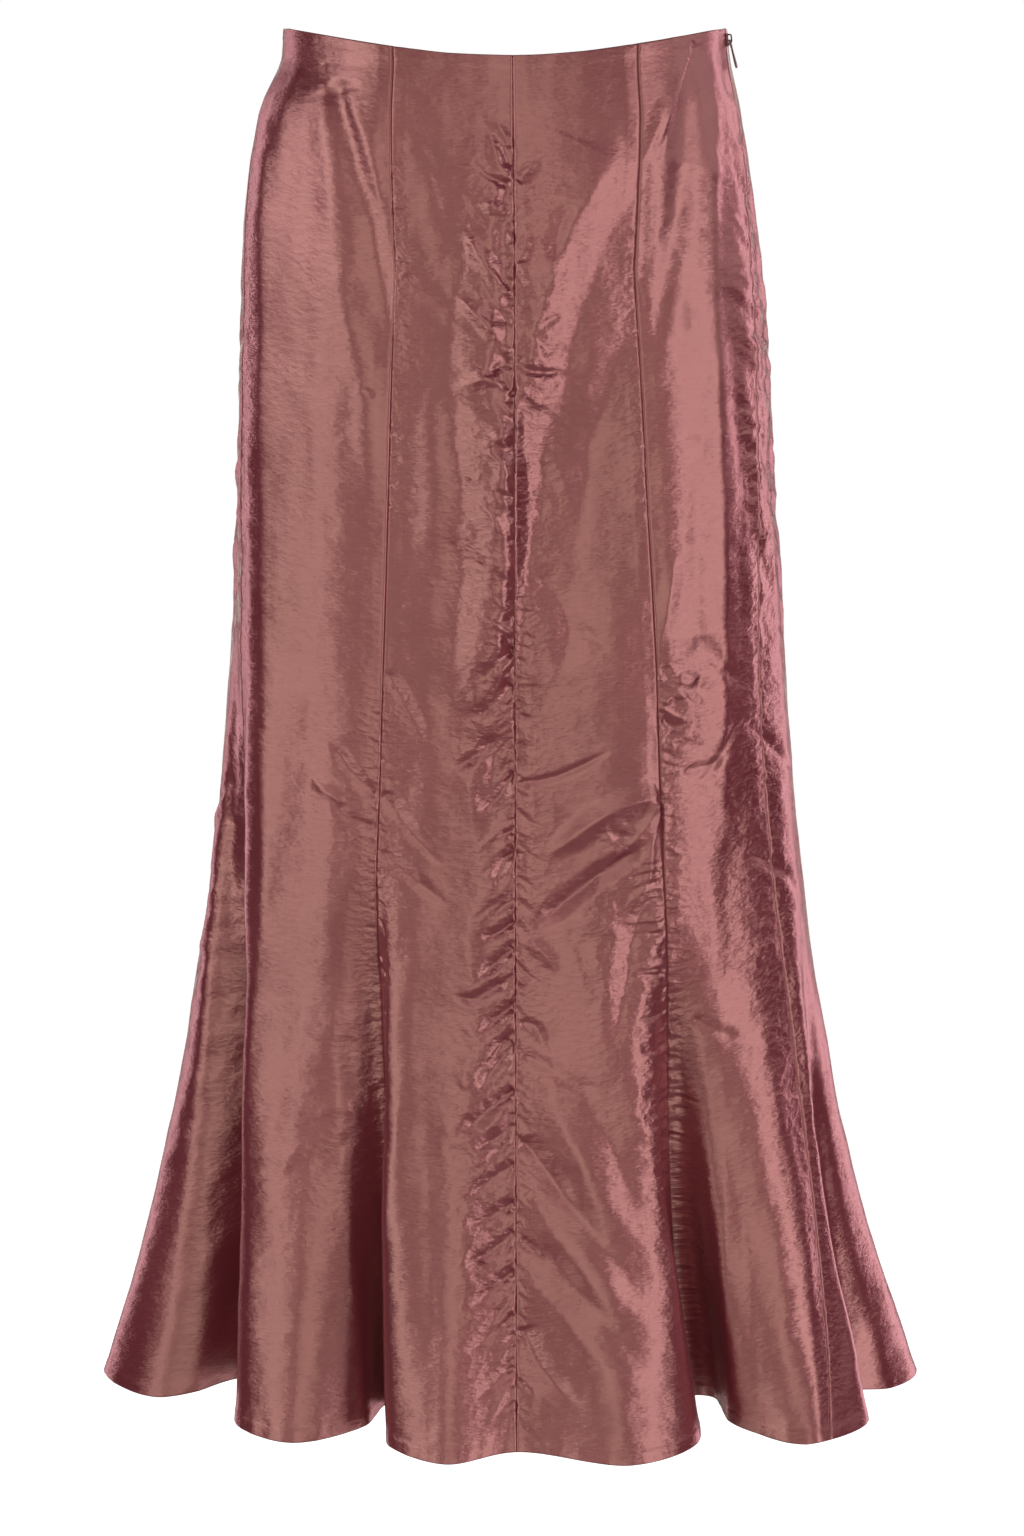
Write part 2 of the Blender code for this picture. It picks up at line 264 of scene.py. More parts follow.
@dataclass(frozen=True)
class Taffeta:
    """Shot taffeta: wine threads one way, tan ones the other, and a paper-crisp crinkle.

    Each pattern's cells are how many of them a metre of cloth holds, across and down. A span is
    where a pattern's effect starts and where it is full.
    """

    wine: Colour = (0.138, 0.023, 0.033)
    rose: Colour = (0.170, 0.033, 0.044)
    gloss: Colour = (1.0, 0.545, 0.480)
    fuzz: Colour = (1.0, 0.45, 0.45)
    index: float = 2.4
    roughness: float = 0.17
    roughness_swing: float = 0.12
    dark_threads: float = 0.82
    thread_contrast: float = 0.35
    thread_span: Span = (0.75, 1.3)
    rose_span: Span = (0.35, 0.7)
    thread: float = 0.34 * MM
    weave_height: float = 0.010 * MM
    slub_height: float = 0.012 * MM
    streak_height: float = 0.05 * MM
    streaks_everywhere: float = 0.8
    streaks_by_seams: float = 0.8
    crinkle_height: float = 0.55 * MM
    crinkle_everywhere: float = 0.18
    crinkle_in_patches: float = 0.3
    crinkle_by_seams: float = 0.45
    crinkle_span: Span = (0.42, 0.75)
    hair_tilt: float = 0.34
    wave_tilt: float = 0.20
    streak_cells: Cells = (150.0, 800.0)
    slub_cells: Cells = (20.0, 1500.0)
    warp_cells: Cells = (1300.0, 14.0)
    patch_cells: Cells = (9.0, 6.0)
    hair_cells: Cells = (260.0, 1150.0)
    wave_cells: Cells = (85.0, 95.0)
    coarse_facets: Cells = (130.0, 210.0)
    fine_facets: Cells = (330.0, 520.0)
    fine_facet_share: float = 0.38

    def facets(self, bench: NodeBench, place: Any, cells: Cells) -> Signal:
        """Add a paper-like relief of small cones whose cells meet in sharp creases.

        Args:
            bench: The material's bench.
            place: The cloth's coordinates.
            cells: How many of them a metre holds, across and down.

        Returns:
            The relief, from 0 to about 1.
        """
        mapping = bench.add("ShaderNodeMapping", {}, {"Vector": place, "Scale": (*cells, 1.0)})
        bend = bench.add(
            "ShaderNodeTexNoise", {}, {"Vector": mapping.outputs[0], "Scale": 0.6, "Detail": 1.0}
        )
        moved = bench.add(
            "ShaderNodeVectorMath", {"operation": "ADD"}, {0: mapping.outputs[0], 1: bend.outputs[1]}
        )
        relief = bench.add(
            "ShaderNodeTexVoronoi",
            {"voronoi_dimensions": "2D"},
            {"Vector": moved.outputs[0], "Scale": 1.0},
        )
        return bench.signal(relief)

    def relief(self, bench: NodeBench, cloth: Any, patches: Signal, slubs: Signal) -> Signal:
        """Add the height of the weave, its uneven threads and the crinkle.

        Args:
            bench: The material's bench.
            cloth: The cloth's coordinates.
            patches: Where the cloth is more crinkled.
            slubs: Its thick threads.

        Returns:
            The height, in metres.
        """
        axes = bench.add("ShaderNodeSeparateXYZ", {}, {0: cloth})
        pucker = bench.signal(bench.add("ShaderNodeAttribute", {"attribute_name": PUCKER_NAME}), 2)
        streaks = bench.noise(cloth, (*self.streak_cells, 1.0), 2.0, 0.3)
        coarse = self.facets(bench, cloth, self.coarse_facets)
        fine = self.facets(bench, cloth, self.fine_facets)
        crinkle = coarse + fine * self.fine_facet_share
        amount = (
            pucker * self.crinkle_by_seams
            + patches.ramp(*self.crinkle_span) * self.crinkle_in_patches
            + self.crinkle_everywhere
        )
        turn = 2 * math.pi / self.thread
        across = (bench.signal(axes, 0) * turn).wave()
        down = (bench.signal(axes, 1) * turn).wave()
        return (
            streaks * (pucker * self.streaks_by_seams + self.streaks_everywhere) * self.streak_height
            + crinkle * amount * self.crinkle_height
            + across * down * self.weave_height
            + slubs * self.slub_height
        )

    def lean(self, bench: NodeBench, cloth: Any) -> bpy.types.Node:
        """Tilt the threads to the left and right, so that a highlight's edge breaks into hairs.

        Args:
            bench: The material's bench.
            cloth: The cloth's coordinates.

        Returns:
            The node that gives the tilted normal.
        """
        hairs = bench.noise(cloth, (*self.hair_cells, 1.0), 2.0, 0.4)
        waves = bench.noise(cloth, (*self.wave_cells, 1.0), 4.0, 0.6)
        tilt = (hairs - 0.5) * self.hair_tilt + (waves - 0.5) * self.wave_tilt
        lean = bench.add("ShaderNodeCombineXYZ", {}, {0: tilt * 0.5 + 0.5, 1: 0.5, 2: 1.0})
        return bench.add(
            "ShaderNodeNormalMap", {"uv_map": UV_NAME}, {"Color": lean.outputs[0], "Strength": 1.0}
        )

    def build(self) -> bpy.types.Material:
        """Make the material.

        Returns:
            The material.
        """
        material, bench, shader = new_shader(
            "taffeta",
            {
                "Specular Tint": (*self.gloss, 1.0),
                "IOR": self.index,
                "Sheen Weight": 0.12,
                "Sheen Roughness": 0.4,
                "Sheen Tint": (*self.fuzz, 1.0),
            },
        )
        cloth = bench.add("ShaderNodeUVMap", {"uv_map": UV_NAME}).outputs[0]
        patches = bench.noise(cloth, (*self.patch_cells, 1.0), 3.0, 0.5)
        slubs = bench.noise(cloth, (*self.slub_cells, 1.0), 2.0)
        warps = bench.noise(cloth, (*self.warp_cells, 1.0), 2.0)

        shade = bench.mix(patches.ramp(*self.rose_span), self.wine, self.rose)
        darker = tuple(part * self.dark_threads for part in self.wine)
        dark = (1.0 - (slubs + warps).ramp(*self.thread_span)) * self.thread_contrast
        bench.feed(shader.inputs["Base Color"], bench.mix(dark, shade, darker))
        rough = (patches - 0.5) * self.roughness_swing + self.roughness
        bench.feed(shader.inputs["Roughness"], rough)
        bench.relief(shader, self.relief(bench, cloth, patches, slubs), self.lean(bench, cloth))
        return material


@dataclass(frozen=True)
class Thread:
    """Polyester sewing thread, about as dark as the cloth."""

    colour: Colour = (0.20, 0.065, 0.070)
    between_plies: float = 0.6
    ply_cells: float = 2600.0
    ply_span: Span = (0.35, 0.65)
    ply_height: float = 0.05 * MM

    def build(self) -> bpy.types.Material:
        """Make the material.

        Returns:
            The material.
        """
        material, bench, shader = new_shader(
            "thread", {"Roughness": 0.55, "Sheen Weight": 0.3, "Sheen Tint": (1.0, 0.7, 0.7, 1.0)}
        )
        place = bench.add("ShaderNodeTexCoord").outputs["Object"]
        plies = bench.noise(place, (self.ply_cells,) * 3, 1.0)
        dark = tuple(part * self.between_plies for part in self.colour)
        twist = bench.mix(plies.ramp(*self.ply_span), dark, self.colour)
        bench.feed(shader.inputs["Base Color"], twist)
        bench.relief(shader, plies * self.ply_height)
        return material


@dataclass(frozen=True)
class Enamel:
    """Dark rose enamel on die-cast zinc, rubbed through in small scattered patches."""

    colour: Colour = (0.150, 0.058, 0.060)
    rubbed: Colour = (0.33, 0.22, 0.20)
    roughness: float = 0.26
    roughness_swing: float = 0.18
    speckle_cells: float = 900.0
    speckle_height: float = 0.03 * MM
    wear_cells: tuple[float, float, float] = (240.0, 240.0, 420.0)
    wear_span: Span = (0.58, 0.72)
    wear_share: float = 0.7

    def build(self) -> bpy.types.Material:
        """Make the material.

        Returns:
            The material.
        """
        material, bench, shader = new_shader(
            "zip_enamel", {"Metallic": 0.75, "Coat Weight": 0.5, "Coat Roughness": 0.18}
        )
        place = bench.add("ShaderNodeTexCoord").outputs["Object"]
        speckle = bench.noise(place, (self.speckle_cells,) * 3, 3.0)
        wear = bench.noise(place, self.wear_cells, 4.0, 0.8).ramp(*self.wear_span)
        paint = bench.mix(wear * self.wear_share, self.colour, self.rubbed)
        bench.feed(shader.inputs["Base Color"], paint)
        bench.feed(shader.inputs["Roughness"], speckle * self.roughness_swing + self.roughness)
        bench.relief(shader, speckle * self.speckle_height)
        return material


@dataclass(frozen=True)
class PalePaint:
    """The floor's matt white paint, which the camera sees evenly lit."""

    colour: Colour = (0.35, 0.35, 0.35)

    def build(self) -> bpy.types.Material:
        """Make the material.

        Returns:
            The material.
        """
        material, bench, shader = new_shader(
            "pale_floor",
            {"Base Color": (*self.colour, 1.0), "Roughness": 0.9, "Emission Strength": 1.0},
        )
        camera_ray = bench.signal(bench.add("ShaderNodeLightPath"), "Is Camera Ray")
        glow = bench.mix(camera_ray, (0.0, 0.0, 0.0), (1.0, 1.0, 1.0))
        bench.feed(shader.inputs["Emission Color"], glow)
        return material


# -------------------------------------------------------------------------------------------------
# Form
# -------------------------------------------------------------------------------------------------


class Body(NamedTuple):
    """The body section at one drop: half-widths to either side and half-depths, in mm."""

    drop: float
    right: float
    left: float
    front: float
    back: float


class Seam(NamedTuple):
    """A seam's bearing round the body at three drops, in degrees from the front to the left."""

    name: str
    waist: float
    hip: float
    thigh: float


class Fold(NamedTuple):
    """A fold line: its place in gores from the centre front and where it swings to on the hem."""

    place: float
    hem_x: float
    hem_y: float
    rise: float
    start: float
    power: float


BODY = (
    Body(0, 154, 150, 104, 104),
    Body(25, 156.5, 153, 107, 108),
    Body(55, 164, 160, 110, 113),
    Body(85, 169.5, 165.5, 112, 118),
    Body(140, 177.5, 174, 115, 124),
    Body(220, 184, 182, 117, 126),
    Body(330, 190, 188.5, 116, 120),
    Body(445, 197, 195.5, 114, 114),
    Body(560, 208, 206, 116, 114),
    Body(675, 225, 222.5, 123, 122),
    Body(795, 248.5, 246, 138, 138),
    Body(855, 263, 262.5, 148, 150),
    Body(915, 280, 283, 161, 163),
    Body(963, 296, 299, 176, 178),
)

SEAMS = (
    Seam("centre_front", 1.2, 1.4, 1.4),
    Seam("front_left", 34.5, 29.0, 31.0),
    Seam("side_left", 80.0, 70.5, 63.0),
    Seam("back_left", 150.0, 153.0, 152.0),
    Seam("centre_back", 180.0, 180.0, 180.0),
    Seam("back_right", 210.0, 207.0, 208.5),
    Seam("side_right", 278.5, 287.5, 292.0),
    Seam("front_right", 330.5, 335.5, 334.5),
)

FOLDS = (
    Fold(0.00, 6, -171, 3, 560, 1.6),
    Fold(0.52, 84, -188, 0, 560, 1.7),
    Fold(0.84, 131, -152, 3, 600, 1.6),
    Fold(1.00, 133, -91, 11, 600, 1.4),
    Fold(1.25, 166, -132, 5, 560, 1.5),
    Fold(1.68, 204, -147, 0, 560, 2.2),
    Fold(2.00, 220, -143, 1, 600, 2.8),
    Fold(2.07, 253, -112, 4, 560, 2.0),
    Fold(2.14, 243, -68, 10, 600, 1.4),
    Fold(2.22, 276, -46, 6, 560, 1.6),
    Fold(2.30, 299, -2, 4, 560, 1.2),
    Fold(2.42, 282, 46, 5, 560, 1.6),
    Fold(2.56, 243, 70, 10, 580, 1.4),
    Fold(2.70, 232, 122, 3, 560, 1.7),
    Fold(2.84, 184, 148, 2, 560, 1.7),
    Fold(3.00, 130, 100, 11, 480, 1.4),
    Fold(3.22, 118, 160, 3, 560, 1.7),
    Fold(3.50, 66, 189, 0, 560, 1.7),
    Fold(4.00, -3, 172, 4, 560, 1.6),
    Fold(4.46, -68, 188, 0, 560, 1.7),
    Fold(4.80, -121, 158, 3, 560, 1.7),
    Fold(5.00, -132, 98, 11, 480, 1.4),
    Fold(5.14, -182, 146, 2, 560, 1.7),
    Fold(5.36, -231, 126, 3, 560, 1.7),
    Fold(5.52, -240, 72, 10, 580, 1.4),
    Fold(5.64, -279, 44, 5, 560, 1.6),
    Fold(5.74, -296, -2, 4, 560, 1.2),
    Fold(5.87, -252, -54, 2, 560, 1.6),
    Fold(6.00, -185, -50, 11, 420, 1.3),
    Fold(6.22, -190, -114, 3, 560, 1.7),
    Fold(6.58, -150, -143, 0, 560, 1.6),
    Fold(6.84, -106, -129, 4, 560, 1.6),
    Fold(7.00, -78, -100, 11, 560, 1.4),
    Fold(7.13, -79, -157, 3, 600, 1.7),
    Fold(7.48, -43, -186, 0, 560, 1.7),
)


def curve_between(start: Any, slope_start: Any, end: Any, slope_end: Any, t: Any) -> Any:
    """Interpolate between two ends along the cubic curve that has given slopes there.

    Args:
        start: The first end.
        slope_start: The slope there, over the whole step.
        end: The second end.
        slope_end: The slope there.
        t: The share of the step.

    Returns:
        The value on the curve.
    """
    return (
        start * (2 * t**3 - 3 * t**2 + 1)
        + slope_start * (t**3 - 2 * t**2 + t)
        + end * (3 * t**2 - 2 * t**3)
        + slope_end * (t**3 - t**2)
    )


def smooth_step_curve(points: Sequence[Any], gaps: Sequence[Any], t: Any) -> Any:
    """Interpolate from the second to the third of four points along a smooth curve.

    Args:
        points: The four points.
        gaps: The lengths of the three steps between them, as the curve's own measure.
        t: The share of the middle step.

    Returns:
        The point on the curve.
    """
    before, start, end, after = points
    first, middle, last = gaps
    slope_start = middle * (
        (start - before) / first - (end - before) / (first + middle) + (end - start) / middle
    )
    slope_end = middle * (
        (end - start) / middle - (after - start) / (middle + last) + (after - end) / last
    )
    return curve_between(start, slope_start, end, slope_end, t)


def step_lengths(points: Sequence[Any]) -> list[Any]:
    """Return the square roots of the distances between neighbouring points."""
    return [np.linalg.norm(end - start, axis=0) ** 0.5 for start, end in zip(points, points[1:])]


@dataclass(frozen=True)
class SkirtForm:
    """The smooth surface of the cloth, in its worn form."""

    length: float = 963 * MM
    front_dip: float = 20 * MM
    back_dip: float = 24 * MM
    dip_power: float = 2.5
    hip_drop: float = 160 * MM
    thigh_drop: float = 430 * MM

    def body_size(self, column: str, drop: np.ndarray) -> np.ndarray:
        """Read one column of BODY along a smooth curve.

        Args:
            column: The column's name.
            drop: The drops to read it at.

        Returns:
            The sizes, in metres.
        """
        drops = np.array([row.drop for row in BODY]) * MM
        values = np.array([getattr(row, column) for row in BODY]) * MM
        slopes = np.gradient(values, drops)
        index = np.clip(np.searchsorted(drops, drop, side="right") - 1, 0, len(BODY) - 2)
        step = drops[index + 1] - drops[index]
        t = (drop - drops[index]) / step
        start, end = ((values[i], slopes[i] * step) for i in (index, index + 1))
        return curve_between(*start, *end, t)

    def body_point(self, bearing: np.ndarray, drop: np.ndarray) -> np.ndarray:
        """Find a point on the body section.

        Args:
            bearing: Its bearing in radians.
            drop: Its drop.

        Returns:
            Its x and y.
        """
        across = np.sin(bearing)
        along = -np.cos(bearing)
        left, right = self.body_size("left", drop), self.body_size("right", drop)
        front, back = self.body_size("front", drop), self.body_size("back", drop)
        width = np.where(across > 0, left, right)
        depth = np.where(along < 0, front, back)
        return np.stack((width * across, depth * along))

    def place_bearing(self, place: float, drop: Any) -> Any:
        """Find the bearing of a place round the body.

        Args:
            place: The place, which counts gores from the centre front.
            drop: Its drop.

        Returns:
            The bearing in radians.
        """
        gore = int(place)
        levels = (0, self.hip_drop, self.thigh_drop)
        start, end = (
            np.radians(np.interp(drop, levels, (seam.waist, seam.hip, seam.thigh)))
            for seam in (SEAMS[gore], SEAMS[(gore + 1) % len(SEAMS)])
        )
        turn = np.where(end < start, 2 * math.pi, 0)
        return start + (place - gore) * (end + turn - start)

    def fold_path(self, fold: Fold, drop: np.ndarray) -> np.ndarray:
        """Follow one fold line, which swings from the body out to its place on the hem.

        Args:
            fold: The fold line.
            drop: The drops to give points at.

        Returns:
            Their x and y.
        """
        bottom = np.full(1, self.length)
        hem = np.array([[fold.hem_x], [fold.hem_y]]) * MM
        swing = hem - self.body_point(self.place_bearing(fold.place, bottom), bottom)
        start = fold.start * MM
        growth = np.clip((drop - start) / (self.length - start), 0, 1) ** fold.power
        return self.body_point(self.place_bearing(fold.place, drop), drop) + swing * growth

    def edge_drops(self, fold: Fold) -> tuple[float, float]:
        """Find both edges of the cloth at a fold.

        Args:
            fold: The fold line.

        Returns:
            The drops of the waist edge and of the hem.
        """
        along = -math.cos(self.place_bearing(fold.place, 0.0))
        dip = self.front_dip if along < 0 else self.back_dip
        return dip * abs(along) ** self.dip_power, self.length - fold.rise * MM

    def column(self, turn: float, shares: np.ndarray) -> np.ndarray:
        """Return the points of one line down the cloth.

        Args:
            turn: Its place as a count of folds, with the share of the way to the next one.
            shares: The shares of the length to give points at.

        Returns:
            An array of points, shaped rows by 3.
        """
        index, t = int(turn), turn - int(turn)
        near = [FOLDS[(index + offset) % len(FOLDS)] for offset in (-1, 0, 1, 2)]
        edges = [np.array(self.edge_drops(fold)) for fold in near]
        hems = [np.array((fold.hem_x, fold.hem_y)) for fold in near]
        top, bottom = smooth_step_curve(edges, step_lengths(hems), t)
        drop = top + (bottom - top) * shares
        paths = [self.fold_path(fold, drop) for fold in near]
        ring = smooth_step_curve(paths, step_lengths(paths), t)
        return np.stack((ring[0], ring[1], -drop), axis=-1)

    def patch(self, turns: Sequence[float], shares: np.ndarray) -> np.ndarray:
        """Return a grid of points, shaped columns, rows, 3."""
        return np.array([self.column(turn, shares) for turn in turns])


FORM = SkirtForm()


def grid_normals(surface: np.ndarray) -> np.ndarray:
    """Return the unit normals of a grid of points, which point outwards."""
    normal = np.cross(np.gradient(surface, axis=1), np.gradient(surface, axis=0))
    return normal / np.linalg.norm(normal, axis=-1, keepdims=True)


def lengths_along(surface: np.ndarray, axis: int) -> np.ndarray:
    """Return each point's distance from a grid's first edge along one of its axes."""
    steps = np.linalg.norm(np.diff(surface, axis=axis), axis=-1)
    return np.insert(np.cumsum(steps, axis=axis), 0, 0, axis=axis)


# -------------------------------------------------------------------------------------------------
# Creases
# -------------------------------------------------------------------------------------------------


def ease(value: Any, low: float, high: float) -> Any:
    """Rise smoothly from 0 at low to 1 at high."""
    t = np.clip((value - low) / (high - low), 0, 1)
    return t * t * (3 - 2 * t)


NOISE_CELLS = 128


def gradient_noise(across: np.ndarray, down: np.ndarray, seed: int) -> np.ndarray:
    """Return smooth noise from about -1 to 1, with one hill or hollow to each unit cell.

    Args:
        across: The first coordinate, in cells.
        down: The second coordinate, in cells.
        seed: The seed of its random slopes.

    Returns:
        The noise at each point.
    """
    size = NOISE_CELLS
    angles = np.random.default_rng(seed).uniform(0, 2 * math.pi, (size, size))
    i, j = np.floor(across).astype(int), np.floor(down).astype(int)
    x, y = across - i, down - j
    blend_x, blend_y = (t * t * t * (t * (6 * t - 15) + 10) for t in (x, y))

    def corner(step_i: int, step_j: int) -> np.ndarray:
        """Return the slope's height from one corner of the cell."""
        angle = angles[(i + step_i) % size, (j + step_j) % size]
        return np.cos(angle) * (x - step_i) + np.sin(angle) * (y - step_j)

    top = corner(0, 0) * (1 - blend_x) + corner(1, 0) * blend_x
    bottom = corner(0, 1) * (1 - blend_x) + corner(1, 1) * blend_x
    return 1.5 * (top * (1 - blend_y) + bottom * blend_y)


def facet_noise(across: np.ndarray, down: np.ndarray, seed: int) -> np.ndarray:
    """Return noise from -1 to 1 made of flat three-sided facets, about one to each unit cell.

    Args:
        across: The first coordinate, in cells.
        down: The second coordinate, in cells.
        seed: The seed of the heights where facets meet.

    Returns:
        The noise at each point.
    """
    size = NOISE_CELLS
    heights = np.random.default_rng(seed).uniform(-1, 1, (size, size))
    skewed = across + 0.5 * down
    i, j = np.floor(skewed).astype(int), np.floor(down).astype(int)
    x, y = skewed - i, down - j
    lower = x < y
    near = heights[i % size, j % size]
    far = heights[(i + 1) % size, (j + 1) % size]
    side = np.where(lower, heights[i % size, (j + 1) % size], heights[(i + 1) % size, j % size])
    longest, shortest = np.maximum(x, y), np.minimum(x, y)
    return near * (1 - longest) + side * (longest - shortest) + far * shortest


ROLL_FALL = 2.2
STEP_RATIO = 3.2
FLANK_POWER = 1.25


class Section(Enum):
    """The cross-section of a crease."""

    ROLL = "a rounded ridge or trough"
    TENT = "two flat flanks that meet at a sharp edge"
    STEP = "a sharp edge with one short and one long flank"

    def height(self, q: np.ndarray) -> np.ndarray:
        """Work out the section's height.

        Args:
            q: Signed distances from the crease's line, in widths.

        Returns:
            The heights, 1 at most.
        """
        if self is Section.ROLL:
            return np.exp(-ROLL_FALL * q * q)
        if self is Section.STEP:
            q = np.where(q < 0, STEP_RATIO * q, q)
        return np.clip(1 - np.abs(q), 0, 1) ** FLANK_POWER


class Face(Enum):
    """The side that a crease is seen from: the axis across it, and the way that it faces."""

    FRONT = (0, (0, -1))
    BACK = (0, (0, 1))
    LEFT = (1, (1, 0))
    RIGHT = (1, (-1, 0))

    def view(self, surface: np.ndarray, normal: np.ndarray) -> tuple[np.ndarray, np.ndarray]:
        """See a grid of points from this side.

        Args:
            surface: The grid.
            normal: Its normals.

        Returns:
            How far across the side each point lies, in mm, and the strength of a crease there,
            which is 0 where the cloth turns away from the side.
        """
        axis, (face_x, face_y) = self.value
        facing = (normal[..., 0] * face_x + normal[..., 1] * face_y).ravel()
        return surface[..., axis].ravel() / MM, ease(facing, 0.0, 0.3)


FRONT, BACK, LEFT, RIGHT = Face.FRONT, Face.BACK, Face.LEFT, Face.RIGHT
ROLL, TENT, STEP = Section.ROLL, Section.TENT, Section.STEP


class Crease(NamedTuple):
    """A crease along a line of (across, drop) points, in mm. Its width is from middle to edge.

    Its fades are the shares of its length over which it rises and fades.
    """

    line: tuple[tuple[float, float], ...]
    width: float
    height: float
    fades: tuple[float, float] = (0.05, 0.5)
    section: Section = Section.TENT
    face: Face = Face.FRONT


class Drape(NamedTuple):
    """A broad fold down the front. Its line has (across, drop, strength) points.

    Its section has (offset towards +across, height) points. All but the strength are in mm.
    """

    line: tuple[tuple[float, float, float], ...]
    section: tuple[tuple[float, float], ...]


class PuckerRun(NamedTuple):
    """A run of uneven puckers along one side of a seam. Sizes are in mm, leans in degrees.

    Ahead of a seam lies the gore that has the same number, behind it the one before.
    """

    seam: int
    ahead: bool
    top: float
    bottom: float
    spacing: float
    reach: tuple[float, float]
    lean: tuple[float, float]
    width: tuple[float, float]
    height: tuple[float, float]


class Pull(NamedTuple):
    """How deep a seam pulls its cloth in, in mm, at the drops of PULL_DROPS."""

    seam: int
    reach: float
    depths: tuple[float, ...]


class Crumple(NamedTuple):
    """A crumpled patch: its middle, half-sizes and the size of its facets, in mm.

    The facets' longer way slants down from the level, in degrees.
    """

    face: Face
    across: float
    drop: float
    half_width: float
    half_drop: float
    cell: float
    slant: float
    height: float
    seed: int


class Waves(NamedTuple):
    """Gentle hills and hollows all over the cloth. Lengths are in mm, the shift in cells."""

    height: float
    across: float
    down: float
    shift: tuple[float, float]
    seed: int


class Flattening(NamedTuple):
    """How the cloth stands out on both sides of the front and back. Lengths are in mm."""

    height: float
    across: float
    half_width: float
    full_to: float
    ends: float


def smooth_line(points: Sequence[Sequence[float]], steps: int) -> np.ndarray:
    """Run a smooth line through a few points.

    Args:
        points: The points, of any dimension.
        steps: The number of steps between two of them.

    Returns:
        The line's points.
    """
    ends = [np.array(p, float) for p in points]
    padded = [2 * ends[0] - ends[1], *ends, 2 * ends[-1] - ends[-2]]
    line = []
    for index in range(len(ends) - 1):
        near = padded[index : index + 4]
        gaps = step_lengths(near)
        line += [smooth_step_curve(near, gaps, step / steps) for step in range(steps)]
    return np.array([*line, ends[-1]])


def line_place(
    across: np.ndarray, drop: np.ndarray, line: np.ndarray, reach: float
) -> tuple[np.ndarray, np.ndarray, np.ndarray]:
    """Find each point's place beside a line.

    Args:
        across: Each point's first coordinate, as a flat array.
        drop: Each point's second coordinate.
        line: The line, shaped points by 2.
        reach: How far from it points count.

    Returns:
        The numbers of the points near it, their distances to it, which are below zero to the right
        of a line that runs down, and their shares of its length.
    """
    low, high = line.min(axis=0) - reach, line.max(axis=0) + reach
    inside = (across > low[0]) & (across < high[0]) & (drop > low[1]) & (drop < high[1])
    chosen = np.flatnonzero(inside)
    points = np.stack((across[chosen], drop[chosen]), axis=-1)
    nearest = np.full(len(chosen), np.inf)
    side = np.zeros(len(chosen))
    along = np.zeros(len(chosen))
    run = run_lengths(line)
    for start, end, before, after in zip(line, line[1:], run, run[1:]):
        step = end - start
        offset = points - start
        t = np.clip(offset @ step / (step @ step), 0, 1)
        distance = np.linalg.norm(offset - t[:, None] * step, axis=1)
        closer = distance < nearest
        nearest[closer] = distance[closer]
        side[closer] = np.sign(step[0] * offset[closer, 1] - step[1] * offset[closer, 0])
        along[closer] = (before + t[closer] * (after - before)) / run[-1]
    return chosen, side * nearest, along


def run_lengths(line: np.ndarray) -> np.ndarray:
    """Return how far along a line each of its points lies."""
    return np.concatenate(([0], np.cumsum(np.linalg.norm(np.diff(line, axis=0), axis=1))))


PULL_DROPS = (0, 160, 430, 600, 780, 963)
PULLS = (
    Pull(0, 12, (0, 0.6, 0.8, 0.8, 0.5, 0.5)),
    Pull(1, 37, (0, 1.0, 0.8, 3.0, 10.0, 18.0)),
    Pull(2, 16, (0, 0.0, 0.8, 1.5, 1.0, 0.5)),
    Pull(3, 32, (0, 1.0, 1.6, 4.0, 8.0, 14.0)),
    Pull(4, 14, (0, 0.8, 1.2, 1.4, 1.0, 1.0)),
    Pull(5, 32, (0, 1.0, 1.6, 4.0, 8.0, 14.0)),
    Pull(6, 42, (0, 0.5, 2.0, 5.0, 11.0, 21.0)),
    Pull(7, 33, (0, 1.4, 2.4, 4.0, 9.0, 16.0)),
)

